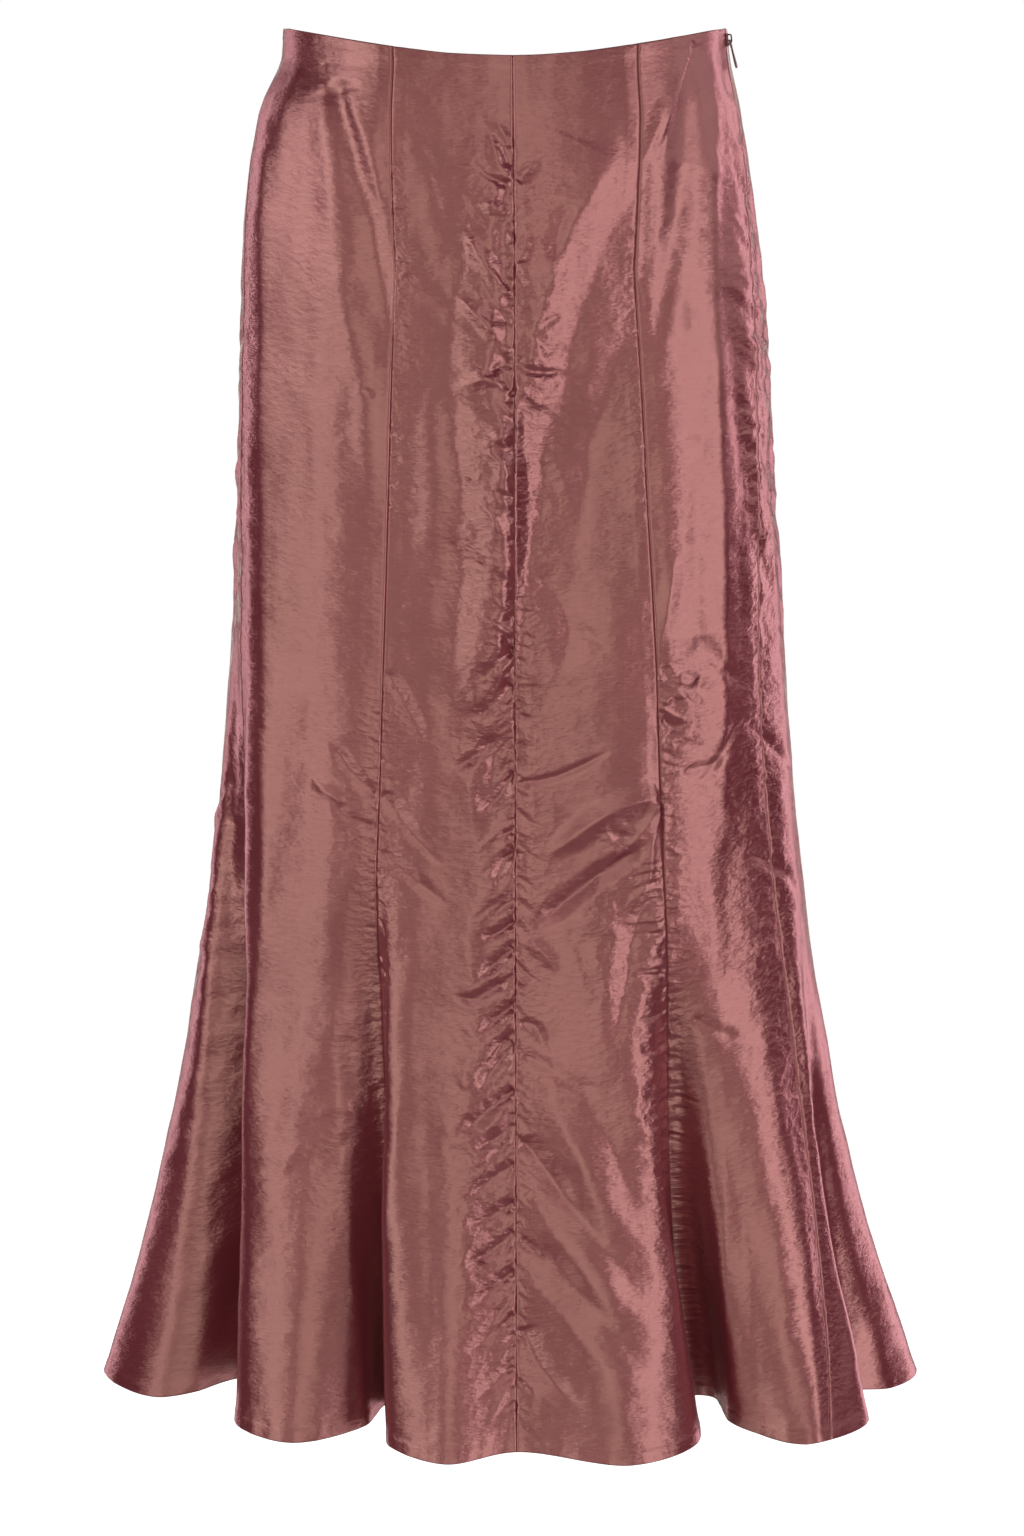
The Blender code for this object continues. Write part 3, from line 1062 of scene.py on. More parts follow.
DRAPES = (
    # The long fold from the left front seam down to the centre front
    Drape(
        (
            (98, 84, 0.2), (92, 100, 0.6), (66, 140, 0.9), (53, 178, 1), (43, 213, 1.1),
            (34, 245, 1.2), (25, 270, 1.3), (22, 298, 1.3), (15, 340, 1), (10, 385, 0.4),
            (8, 430, 0),
        ),
        ((-85, 0), (-25, 4.6), (0, -3.4), (32, -6.4), (100, 0)),
    ),
    # The crest of the flank that turns to the right side, and its like on the left
    Drape(
        (
            (-150, 20, 0), (-155, 60, 0.8), (-158, 200, 1), (-160, 420, 1), (-164, 560, 0.8),
            (-168, 660, 0),
        ),
        ((-30, 0), (-22, 6), (-12, 10.5), (0, 13), (28, 5.8), (70, 1.2), (84, 0)),
    ),
    Drape(
        (
            (136, 16, 0), (137, 60, 0.7), (139, 200, 0.8), (143, 330, 1.1), (145, 430, 1.1),
            (146, 520, 0.6), (146, 580, 0),
        ),
        ((-48, 0), (-18, 2.4), (0, 6.6), (14, 2.4), (34, 0)),
    ),
    # Broad wedges that run down and out from the centre front near the hem
    Drape(
        ((26, 700, 0), (34, 735, 0.8), (50, 765, 1), (62, 800, 0.6), (70, 830, 0)),
        ((-30, 0), (0, 2.8), (24, -3.0), (48, 0)),
    ),
    Drape(
        ((8, 770, 0.1), (20, 795, 0.9), (42, 828, 1.1), (64, 855, 0.8), (78, 880, 0)),
        ((-22, 0), (0, 2.6), (22, -3.0), (42, 0)),
    ),
    Drape(
        ((6, 826, 0.1), (18, 846, 0.9), (38, 870, 1), (60, 893, 0.7), (76, 915, 0)),
        ((-20, 0), (0, 2.6), (20, -2.8), (38, 0)),
    ),
    # The ridge that the long fold ends on, and the edge of the flank below it
    Drape(
        (
            (-2, 238, 0), (-4, 262, 0.8), (-1, 300, 1.05), (0, 345, 1), (-4, 395, 0.95),
            (-6, 430, 0.8), (-10, 480, 0),
        ),
        ((-40, 0), (-30, 0.6), (-6, 9.0), (0, 9.4), (7, 3.5), (14, 0)),
    ),
    Drape(
        (
            (-12, 390, 0), (-22, 430, 0.5), (-17, 470, 0.5), (-25, 520, 0.9), (-19, 570, 0.4),
            (-27, 615, 0.8), (-20, 670, 0.3), (-29, 715, 0.7), (-22, 770, 0.2), (-31, 820, 0.5),
            (-25, 870, 0.1), (-30, 920, 0),
        ),
        ((-44, 0), (-4, 3.2), (0, 3.4), (12, -1.4), (20, -1.8), (32, 0)),
    ),
    Drape(
        ((-6, 60, 0), (-8, 95, 0.8), (-11, 150, 1), (-9, 190, 0.7), (-12, 225, 1), (-9, 262, 0)),
        ((-26, 0), (-3, 3.2), (0, 3.4), (8, -0.8), (14, 0)),
    ),
    # The outer edges of the middle lobe and of the left one, near the hem
    Drape(
        (
            (-62, 640, 0), (-58, 700, 0.5), (-54, 780, 0.9), (-52, 860, 1), (-54, 950, 0.9),
            (-54, 975, 0.8),
        ),
        ((-52, 0), (-30, 5.4), (0, -0.2), (6, 0)),
    ),
    Drape(
        ((168, 640, 0), (182, 720, 0.6), (198, 800, 1), (208, 880, 1), (214, 975, 1)),
        ((-38, 0), (-18, 5.2), (0, 7.2), (24, 0)),
    ),
)

CREASES = (
    # Creases beside the centre-front seam
    Crease(((23, 54), (30, 102), (25, 148), (18, 191)), 22, 1.3, (0.3, 0.3), ROLL),
    # Flame-shaped creases that run up and out from the centre-front seam
    Crease(((1, 102), (-7, 83), (-13, 64)), 7, 2.2),
    Crease(((1, 124), (-9, 119), (-19, 118)), 7, 2.2),
    Crease(((2, 177), (-14, 157), (-30, 132)), 8, 3.2, (0.05, 0.4)),
    Crease(((2, 215), (-14, 196), (-34, 176)), 8, 3.2, (0.05, 0.4)),
    Crease(((3, 241), (-14, 232), (-38, 240)), 10, 3.5),
    Crease(((2, 267), (-11, 274), (-19, 279)), 8, 2.4),
    Crease(((3, 296), (-6, 284), (-19, 279)), 7, 2.2),
    Crease(((3, 338), (-8, 323), (-19, 313)), 8, 2.1),
    Crease(((-16, 231), (-6, 224), (3, 222)), 4, -2.0, (0.2, 0.1)),
    Crease(((5, 220), (13, 226), (25, 228), (42, 228)), 5, -2.5, (0.05, 0.4)),
    Crease(((6, 102), (16, 92), (20, 86)), 7, -2.1),
    Crease(((6, 157), (12, 143), (13, 128)), 8, -1.8, (0.1, 0.5)),
    Crease(((6, 235), (18, 247), (30, 252)), 7, 1.9, (0.1, 0.5)),
    Crease(((45, 119), (35, 128), (30, 157)), 8, -1.6, (0.2, 0.5)),
    Crease(((35, 189), (25, 196), (16, 206)), 6, -1.6, (0.2, 0.5)),
    # Hollows beside the right front seam
    Crease(((-70, 64), (-55, 102), (-46, 138), (-50, 167)), 14, -1.6, (0.2, 0.4), ROLL),
    Crease(((-71, 165), (-53, 177), (-33, 192)), 9, -1.6, (0.1, 0.5)),
    Crease(((-50, 230), (-52, 264), (-49, 301), (-53, 354)), 16, 1.4, (0.2, 0.2), ROLL),
    Crease(((-83, 428), (-66, 459), (-48, 494)), 9, -1.1, (0.1, 0.5)),
    Crease(((-86, 514), (-66, 539), (-43, 564)), 7, -1.6, (0.05, 0.4)),
    Crease(((-86, 553), (-64, 572), (-36, 593)), 7, -1.5, (0.05, 0.4)),
    # Pinched creases that run down and out from the centre-front seam
    Crease(((5, 413), (-6, 421), (-18, 435)), 6, -3.0, (0.05, 0.4)),
    Crease(((4, 419), (-4, 428), (-13, 440)), 4, 1.6),
    Crease(((4, 439), (-9, 450), (-22, 464)), 8, -4.0, (0.05, 0.35)),
    Crease(((-8, 471), (-19, 485), (-40, 497)), 6, -3.0, (0.2, 0.35)),
    Crease(((5, 497), (-5, 514), (-22, 527)), 6, -3.0, (0.05, 0.4)),
    Crease(((6, 538), (-1, 540), (-8, 545)), 5, -2.4),
    Crease(((6, 551), (-3, 561), (-8, 580)), 8, -3.8, (0.05, 0.4)),
    Crease(((5, 585), (-5, 592), (-13, 598)), 5, -2.5, (0.05, 0.4)),
    Crease(((5, 600), (-7, 609), (-20, 613)), 6, -2.9, (0.05, 0.4)),
    Crease(((5, 619), (-8, 630), (-22, 640)), 7, -3.5, (0.05, 0.4)),
    Crease(((0, 642), (-12, 648), (-24, 654), (-39, 651)), 6, -3.0, (0.15, 0.4)),
    Crease(((5, 658), (-7, 667), (-22, 679)), 6, -2.9, (0.05, 0.4)),
    Crease(((5, 677), (-4, 684), (-14, 693)), 5, -2.4),
    Crease(((5, 684), (-7, 699), (-22, 718)), 9, -3.8, (0.05, 0.35)),
    Crease(((5, 716), (-12, 729), (-36, 750)), 9, -3.8, (0.05, 0.35)),
    Crease(((5, 740), (-9, 750), (-27, 759)), 6, -2.4),
    Crease(((5, 767), (-12, 778), (-32, 793)), 7, -2.7),
    Crease(((5, 793), (-12, 803), (-34, 808)), 6, -2.4),
    Crease(((5, 813), (-14, 828), (-38, 839)), 7, -2.6),
    Crease(((5, 839), (-12, 853), (-35, 870)), 8, -2.7),
    Crease(((5, 869), (-12, 882), (-32, 897)), 8, -2.4),
    Crease(((5, 904), (-12, 917), (-27, 926)), 7, -1.8),
    # Long wedges that run down and out on the other side of it
    Crease(((8, 751), (19, 761), (34, 783), (51, 803)), 11, -2.8),
    Crease(((9, 818), (16, 825), (26, 833)), 5, -1.8),
    Crease(((9, 877), (19, 899), (36, 919), (54, 929)), 12, -3.0, (0.05, 0.4)),
    Crease(((9, 669), (19, 674), (27, 692)), 6, -1.9),
    Crease(((7, 692), (26, 700), (44, 712), (79, 716)), 8, -1.1, (0.1, 0.6)),
    # Drag lines from the strained point of the left front seam at the knee
    Crease(((103, 517), (81, 521), (58, 533), (36, 549), (20, 558)), 12, 3.5, (0.04, 0.35)),
    Crease(((92, 551), (68, 566), (42, 585), (15, 607)), 10, -4.8, (0.15, 0.25)),
    Crease(((103, 520), (91, 540), (66, 566), (56, 594)), 8, 1.9, (0.04, 0.5)),
    Crease(((8, 505), (26, 503), (46, 496), (74, 481)), 4, -1.8, (0.05, 0.4)),
    Crease(((104, 521), (97, 554), (96, 572), (78, 607)), 10, 2.4, (0.04, 0.4)),
    Crease(((98, 579), (86, 614), (79, 654), (71, 695)), 14, -2.4, (0.2, 0.3)),
    Crease(((13, 612), (26, 624), (36, 639)), 8, 2.1, (0.2, 0.5)),
    Crease(((13, 359), (31, 376), (42, 403), (31, 436)), 18, -1.8, (0.2, 0.4)),
    Crease(((46, 396), (58, 406), (72, 419)), 8, -0.9, (0.3, 0.5)),
    # Hollows and ridges that fan out from the waist tuck of the right side-front gore
    Crease(((-113, 34), (-99, 92), (-91, 127), (-82, 181), (-76, 214)), 13, -3.3, (0.06, 0.3), ROLL),
    Crease(((-108, 38), (-90, 84), (-80, 129)), 8, 1.3, (0.1, 0.4), ROLL),
    Crease(((-121, 30), (-115, 105), (-109, 175), (-95, 236), (-92, 325)), 11, 1.3, (0.05, 0.2), ROLL),
    Crease(((-122, 24), (-119, 36), (-113, 51)), 3, -0.6, (0.05, 0.6)),
    Crease(((-136, 25), (-144, 51), (-147, 79)), 8, 1.0, (0.2, 0.5), ROLL),
    Crease(((-94, 239), (-88, 246)), 3, -1.1, (0.1, 0.5)),
    # Folds that fan out from the waist tuck of the left side-front gore
    Crease(((109, 35), (99, 64), (87, 94)), 8, 1.0, (0.4, 0.4)),
    Crease(((115, 24), (106, 64), (100, 96)), 6, 1.0, (0.4, 0.4)),
    Crease(((119, 17), (115, 87), (109, 155), (98, 214), (96, 241)), 12, -2.6, (0.2, 0.4), ROLL),
    Crease(((129, 19), (143, 87), (145, 155), (154, 241), (164, 338)), 13, -1.8, (0.2, 0.3), ROLL),
    Crease(((134, 31), (141, 71), (143, 91)), 7, 1.0, (0.4, 0.5)),
    Crease(((122, 10), (122, 14), (123, 20)), 3, -0.6),
    # Creases over the left side-front gore, at the knee and below
    Crease(((126, 510), (138, 502), (152, 476), (165, 463)), 6, -1.3, (0.2, 0.4)),
    Crease(((112, 347), (104, 401), (100, 420)), 8, 1.4, (0.3, 0.4)),
    Crease(((125, 406), (140, 425), (162, 447)), 9, -1.6, (0.2, 0.3), ROLL),
    Crease(((116, 501), (136, 498), (150, 492)), 6, -1.6, (0.2, 0.4)),
    Crease(((140, 535), (139, 584), (143, 633), (134, 657)), 14, 1.3, (0.2, 0.2), ROLL),
    Crease(((128, 673), (139, 680), (163, 691)), 7, -1.4, (0.1, 0.4)),
    Crease(((104, 454), (112, 447), (123, 451)), 5, 1.8, (0.1, 0.5)),
    Crease(((104, 462), (111, 469), (126, 467)), 5, -1.6, (0.1, 0.5)),
    Crease(((107, 481), (119, 476), (136, 484)), 5, 1.6, (0.1, 0.5)),
    Crease(((111, 437), (121, 440), (130, 432)), 6, 1.6, (0.2, 0.5)),
    # Creases over the right side-front gore, at the knee and below
    Crease(((-89, 517), (-105, 499), (-123, 472)), 7, -1.9, (0.05, 0.4)),
    Crease(((-109, 522), (-127, 510), (-134, 504)), 6, 1.6, (0.1, 0.5)),
    Crease(((-91, 537), (-109, 530), (-123, 512)), 5, -1.4),
    Crease(((-140, 784), (-120, 766), (-99, 747)), 9, -1.1, (0.3, 0.4)),
    Crease(((-104, 738), (-120, 734), (-135, 745)), 8, 0.9, (0.2, 0.5)),
    Crease(((-160, 784), (-147, 766), (-135, 757)), 8, 0.9, (0.3, 0.4)),
    Crease(((-110, 670), (-110, 709), (-102, 745)), 10, -1.4, (0.3, 0.4), ROLL),
    # The same strains on the back
    Crease(((-100, 30), (-92, 140), (-86, 260), (-84, 420)), 14, -2.0, (0.1, 0.4), ROLL, face=BACK),
    Crease(((96, 34), (90, 150), (88, 280), (82, 430)), 13, -1.9, (0.1, 0.4), ROLL, face=BACK),
    Crease(((-46, 80), (-40, 200), (-44, 330), (-38, 460)), 16, 1.8, (0.2, 0.3), ROLL, face=BACK),
    Crease(((42, 60), (50, 190), (44, 340), (48, 480)), 15, 1.7, (0.2, 0.3), ROLL, face=BACK),
    Crease(((-60, 190), (-40, 225), (-18, 250), (-6, 300)), 20, 2.0, (0.2, 0.4), STEP, face=BACK),
    Crease(((2, 480), (22, 500), (50, 522)), 8, -1.9, face=BACK),
    Crease(((0, 512), (-22, 530), (-46, 560)), 8, -2.0, face=BACK),
    Crease(((2, 560), (20, 576), (40, 604)), 7, 1.7, face=BACK),
    Crease(((0, 600), (-18, 622), (-40, 640)), 7, -1.7, face=BACK),
    Crease(((2, 640), (24, 660), (44, 694)), 7, -1.8, face=BACK),
    Crease(((0, 690), (-20, 712), (-50, 742)), 8, 2.0, face=BACK),
    Crease(((2, 750), (20, 776), (52, 800)), 8, -1.6, face=BACK),
    Crease(((-96, 528), (-74, 556), (-46, 592)), 9, -2.0, (0.08, 0.4), face=BACK),
    Crease(((-96, 524), (-120, 548), (-150, 580)), 8, 1.4, (0.1, 0.5), ROLL, face=BACK),
    Crease(((92, 546), (114, 566), (146, 600)), 8, 1.8, (0.08, 0.5), face=BACK),
    Crease(((92, 552), (76, 590), (66, 650)), 8, 1.3, (0.1, 0.5), ROLL, face=BACK),
    # And on both sides
    Crease(((-20, 30), (-14, 160), (-20, 320), (-10, 480)), 14, -1.8, (0.1, 0.4), ROLL, face=LEFT),
    Crease(((34, 60), (44, 200), (40, 380)), 16, 1.7, (0.2, 0.4), ROLL, face=LEFT),
    Crease(((-66, 470), (-40, 494), (-4, 520)), 8, -1.6, (0.08, 0.5), face=LEFT),
    Crease(((-70, 560), (-44, 580), (-20, 612)), 8, -1.6, (0.08, 0.5), face=LEFT),
    Crease(((60, 300), (30, 340), (6, 400)), 18, 1.8, (0.2, 0.4), STEP, face=LEFT),
    Crease(((-16, 36), (-8, 180), (-12, 330), (-4, 500)), 15, -1.8, (0.1, 0.4), ROLL, face=RIGHT),
    Crease(((40, 50), (46, 210), (36, 400)), 15, 1.6, (0.2, 0.4), ROLL, face=RIGHT),
    Crease(((-40, 520), (-16, 540), (14, 574)), 8, 1.7, (0.08, 0.5), face=RIGHT),
    Crease(((50, 430), (26, 452), (2, 486)), 8, -1.5, (0.08, 0.5), face=RIGHT),
    Crease(((-40, 280), (-10, 330), (10, 400)), 18, 1.7, (0.2, 0.4), STEP, face=RIGHT),
)

PUCKERS = (
    PuckerRun(0, False, 75, 430, 13, (14, 38), (-68, -25), (3.5, 7.5), (1.0, 2.6)),
    PuckerRun(0, False, 420, 930, 7, (12, 40), (32, 62), (2.2, 4.6), (0.8, 1.7)),
    PuckerRun(0, False, 430, 950, 5, (3, 9), (0, 40), (1.2, 2.0), (0.3, 0.6)),
    PuckerRun(0, True, 90, 380, 14, (6, 22), (-10, 40), (1.8, 3.4), (0.4, 0.9)),
    PuckerRun(0, True, 380, 600, 8, (8, 24), (5, 45), (2.0, 3.8), (0.6, 1.3)),
    PuckerRun(0, True, 600, 950, 9, (8, 26), (25, 55), (1.8, 3.6), (0.5, 1.2)),
    PuckerRun(1, False, 560, 940, 6, (14, 42), (-5, 22), (1.8, 3.6), (0.6, 1.3)),
    PuckerRun(1, True, 430, 760, 6, (6, 20), (-25, 30), (1.5, 3.0), (0.5, 1.1)),
    PuckerRun(1, True, 760, 940, 12, (5, 16), (-10, 30), (1.5, 2.6), (0.3, 0.7)),
    PuckerRun(1, False, 130, 330, 12, (5, 16), (0, 40), (1.6, 2.8), (0.4, 0.8)),
    PuckerRun(7, True, 90, 330, 12, (6, 20), (0, 50), (1.6, 3.2), (0.4, 1.0)),
    PuckerRun(7, True, 440, 640, 11, (8, 26), (20, 60), (1.8, 3.4), (0.5, 1.1)),
    PuckerRun(7, True, 640, 940, 14, (5, 14), (0, 40), (1.5, 2.6), (0.3, 0.7)),
    PuckerRun(7, False, 450, 800, 13, (6, 18), (-40, 10), (1.6, 3.0), (0.4, 0.9)),
    PuckerRun(2, False, 250, 560, 9, (6, 20), (-10, 40), (1.6, 3.0), (0.4, 0.9)),
    PuckerRun(2, False, 560, 940, 10, (6, 18), (0, 30), (1.6, 3.2), (0.2, 0.5)),
    PuckerRun(2, True, 60, 520, 7, (6, 22), (-20, 35), (1.6, 3.4), (0.5, 1.2)),
    PuckerRun(2, True, 520, 940, 8, (6, 16), (-10, 30), (1.6, 3.0), (0.2, 0.5)),
    PuckerRun(6, True, 100, 940, 13, (6, 18), (-20, 35), (1.6, 3.0), (0.4, 0.8)),
    PuckerRun(6, False, 300, 940, 10, (6, 22), (-10, 35), (1.6, 3.2), (0.4, 0.9)),
    PuckerRun(3, False, 120, 940, 10, (6, 22), (0, 40), (1.8, 3.6), (0.5, 1.1)),
    PuckerRun(3, True, 120, 940, 12, (6, 22), (0, 40), (1.8, 3.6), (0.5, 1.1)),
    PuckerRun(4, False, 90, 940, 9, (8, 28), (10, 55), (2.0, 3.8), (0.6, 1.3)),
    PuckerRun(4, True, 90, 940, 10, (8, 26), (0, 45), (2.0, 3.6), (0.5, 1.1)),
    PuckerRun(5, False, 120, 940, 10, (6, 22), (0, 40), (1.8, 3.6), (0.5, 1.1)),
    PuckerRun(5, True, 120, 940, 11, (6, 22), (0, 40), (1.8, 3.6), (0.5, 1.1)),
)

CRUMPLES = (
    Crumple(FRONT, -14, 150, 20, 90, 15, 60, 0.8, 11),
    Crumple(FRONT, -16, 250, 24, 60, 17, 55, 1.0, 12),
    Crumple(FRONT, -16, 360, 24, 80, 18, 50, 1.0, 13),
    Crumple(FRONT, -14, 470, 24, 60, 16, 50, 1.0, 14),
    Crumple(FRONT, 20, 190, 22, 90, 18, 60, 1.1, 15),
    Crumple(FRONT, 20, 290, 22, 60, 16, 60, 0.8, 16),
    Crumple(FRONT, 117, 450, 17, 50, 13, 20, 1.2, 17),
    Crumple(FRONT, 76, 545, 16, 12, 7, 20, 0.9, 18),
    Crumple(FRONT, 104, 700, 16, 120, 9, 5, 0.8, 19),
    Crumple(FRONT, -20, 760, 24, 120, 12, 50, 1.0, 20),
    Crumple(FRONT, 66, 620, 24, 50, 12, 70, 0.8, 21),
    Crumple(FRONT, 178, 250, 14, 200, 9, 40, 1.1, 22),
    Crumple(LEFT, -30, 260, 40, 220, 12, 40, 1.2, 23),
    Crumple(LEFT, -60, 640, 30, 200, 9, 20, 0.4, 24),
    Crumple(BACK, -16, 220, 24, 120, 13, 60, 1.4, 25),
    Crumple(BACK, 14, 340, 24, 120, 13, 55, 1.4, 26),
    Crumple(BACK, -30, 520, 34, 90, 14, 50, 1.2, 27),
    Crumple(BACK, 96, 600, 26, 110, 13, 40, 1.1, 28),
    Crumple(RIGHT, -20, 300, 34, 160, 13, 40, 1.0, 29),
    Crumple(RIGHT, -30, 620, 30, 180, 13, 30, 1.0, 30),
)

WAVES = (Waves(1.1, 38, 75, (5.3, 2.7), 71), Waves(0.32, 15, 26, (9.1, 8.2), 72))
FLATTENING = Flattening(4.0, 98, 38, 500, 900)


# -------------------------------------------------------------------------------------------------
# Gores
# -------------------------------------------------------------------------------------------------


class Relief:
    """How far one gore's cloth stands proud of the smooth form. All its lengths are in mm."""

    crease_margin: float = 2.0
    crease_reach: float = 2.2
    narrowest: float = 0.45
    wave_margin: float = 12.0
    drape_blur: tuple[float, ...] = (-2, -0.7, 0.7, 2)
    pucker_fades: Span = (0.15, 0.75)
    pucker_bend: float = 0.25
    pucker_gaps: Span = (0.45, 1.6)
    pucker_margin: float = 15
    inward_share: float = 0.6
    crumple_fade: Span = (0.45, 1.25)
    facet_stretch: float = 1.9
    fine_scale: float = 2.3
    fine_share: float = 0.3

    def __init__(
        self, surface: np.ndarray, normal: np.ndarray, after: np.ndarray, before: np.ndarray
    ) -> None:
        """Start with smooth cloth.

        Args:
            surface: The gore's smooth grid, in metres.
            normal: Its normals.
            after: Each point's distance from the gore's first seam, in metres.
            before: Each point's distance from its last seam, in metres.
        """
        self.drop = -surface[..., 2].ravel() / MM
        self.after, self.before = after.ravel() / MM, before.ravel() / MM
        self.views = {face: face.view(surface, normal) for face in Face}
        self.turned = np.abs(normal[..., 1].ravel())
        self.height = np.zeros(self.drop.shape)
        self.pucker = np.zeros(self.drop.shape)

    def away(self, margin: float) -> np.ndarray:
        """Rise from 0 at both seams to 1 at a margin from them."""
        return ease(np.minimum(self.after, self.before), 0.0, margin)

    def beside(self, gore: int, seam: int) -> list[np.ndarray]:
        """Return the distances from a seam if it is one of the gore's two."""
        both = ((gore, self.after), ((gore + 1) % len(SEAMS), self.before))
        return [distance for number, distance in both if number == seam]

    def add_line(
        self,
        place: tuple[np.ndarray, Any],
        section: Section,
        line: np.ndarray,
        width: float,
        height: float,
        fades: tuple[float, float],
    ) -> None:
        """Add one crease.

        Args:
            place: How far across the cloth each point lies, and the crease's strength there.
            section: The crease's cross-section.
            line: Its line, shaped points by 2.
            width: Its width from middle to edge.
            height: Its height, or its depth where that is below zero.
            fades: The shares of its length over which it rises and fades.
        """
        across, strength = place
        near, distance, along = line_place(across, self.drop, line, self.crease_reach * width)
        rise, fall = fades
        amount = ease(along, 0, rise) * ease(1 - along, 0, fall)
        local_width = width * (self.narrowest + (1 - self.narrowest) * amount)
        self.height[near] += height * amount * section.height(distance / local_width) * strength[near]

    def add_creases(self, creases: Sequence[Crease]) -> None:
        """Add creases, which die away at the gore's seams.

        Args:
            creases: The creases of the whole skirt.
        """
        for crease in creases:
            line = smooth_line(crease.line, 6)
            sizes = (crease.width, crease.height, crease.fades)
            self.add_line(self.views[crease.face], crease.section, line, *sizes)
        self.height *= self.away(self.crease_margin)

    def add_drape(self, drape: Drape) -> None:
        """Add one broad fold, with its section's corners rounded off.

        Args:
            drape: The fold.
        """
        across, strength = self.views[FRONT]
        offsets, heights = np.array(drape.section).T
        points = smooth_line(drape.line, 4)
        near, distance, along = line_place(across, self.drop, points[:, :2], np.abs(offsets).max())
        run = run_lengths(points[:, :2])
        share = np.interp(along, run / run[-1], points[:, 2])
        blurred = [np.interp(blur - distance, offsets, heights) for blur in self.drape_blur]
        self.height[near] += share * sum(blurred) / len(blurred) * strength[near]

    def add_flattening(self, flat: Flattening) -> None:
        """Stand the cloth out on both sides of the front and back.

        Args:
            flat: By how much, and where.
        """
        aside = np.abs(self.views[FRONT][0])
        amount = np.exp(-(((aside - flat.across) / flat.half_width) ** 2))
        amount *= ease(-self.drop, -flat.ends, -flat.full_to) * ease(self.turned, 0.2, 0.6)
        self.height += flat.height * amount

    def add_waves(self, waves: Waves, gore: int) -> None:
        """Add hills and hollows, which die away at the gore's seams.

        Args:
            waves: Their sizes.
            gore: The gore's number, which makes its waves its own.
        """
        across = (self.after + 300 * gore) / waves.across + waves.shift[0]
        noise = gradient_noise(across, self.drop / waves.down + waves.shift[1], waves.seed)
        self.height += waves.height * noise * self.away(self.wave_margin)

    def add_puckers(self, run: PuckerRun, number: int, away: np.ndarray) -> None:
        """Add one run of puckers, from a seam outwards.

        Args:
            run: The run.
            number: Its number, which seeds its own random sizes.
            away: Each point's distance from the seam.
        """
        rng = np.random.default_rng(1000 + number)
        place = (away, np.ones(away.shape))
        level = run.top + rng.uniform(0, run.spacing)
        while level < run.bottom:
            reach = rng.uniform(*run.reach) * (0.5 + rng.random())
            lean = math.radians(rng.uniform(*run.lean))
            bend = rng.uniform(-self.pucker_bend, self.pucker_bend) * reach
            end = np.array((reach * math.cos(lean), level + reach * math.sin(lean)))
            middle = np.array((end[0] / 2, (level + end[1]) / 2 + bend * 0.5))
            line = smooth_line(((0.2, level), middle, end), 3)
            width = rng.uniform(*run.width)
            rise = rng.uniform(*run.height) * (-1 if rng.random() < self.inward_share else 1)
            self.add_line(place, TENT, line, width, rise, self.pucker_fades)
            level += run.spacing * rng.uniform(*self.pucker_gaps)
        margin = self.pucker_margin
        within = ease(self.drop, run.top - margin, run.top + margin)
        within *= ease(-self.drop, -run.bottom - margin, margin - run.bottom)
        self.pucker += within * np.exp(-((away / (0.9 * run.reach[1])) ** 2))

    def add_pull(self, pull: Pull, away: np.ndarray) -> None:
        """Pull the cloth in beside the seam that lies at these distances."""
        depth = np.interp(self.drop, PULL_DROPS, pull.depths)
        self.height -= depth * TENT.height(away / pull.reach)

    def add_crumple(self, patch: Crumple) -> None:
        """Add one crumpled patch: sharp-edged facets that die away at its rim.

        Args:
            patch: The patch.
        """
        across, strength = self.views[patch.face]
        x = (across - patch.across) / patch.half_width
        y = (self.drop - patch.drop) / patch.half_drop
        whole, edge = self.crumple_fade
        near = np.flatnonzero((np.abs(x) < edge) & (np.abs(y) < edge) & (strength > 0))
        x, y = x[near], y[near]
        mask = ease(-np.sqrt(x * x + y * y), -edge, -whole) * strength[near]
        turn = math.radians(patch.slant)
        across, drop = across[near], self.drop[near]
        along = across * math.cos(turn) + drop * math.sin(turn)
        along /= self.facet_stretch * patch.cell
        over = (drop * math.cos(turn) - across * math.sin(turn)) / patch.cell
        bend = gradient_noise(along * 0.7 + 31.7, over * 0.7 + 11.3, patch.seed + 1)
        coarse = facet_noise(along + 0.35 * bend, over + 0.35 * bend, patch.seed + 2)
        finer = along * self.fine_scale + 7.1, over * self.fine_scale + 0.4 * bend
        fine = facet_noise(*finer, patch.seed + 3)
        facets = (1 - self.fine_share) * coarse + self.fine_share * fine
        self.height[near] += 2.0 * patch.height * facets * mask
        self.pucker[near] += 0.6 * mask


class Row(NamedTuple):
    """A line of stitches: its points, and the way each stitch lies there."""

    points: np.ndarray
    ways: np.ndarray


SHARP_ANGLE = math.radians(65)


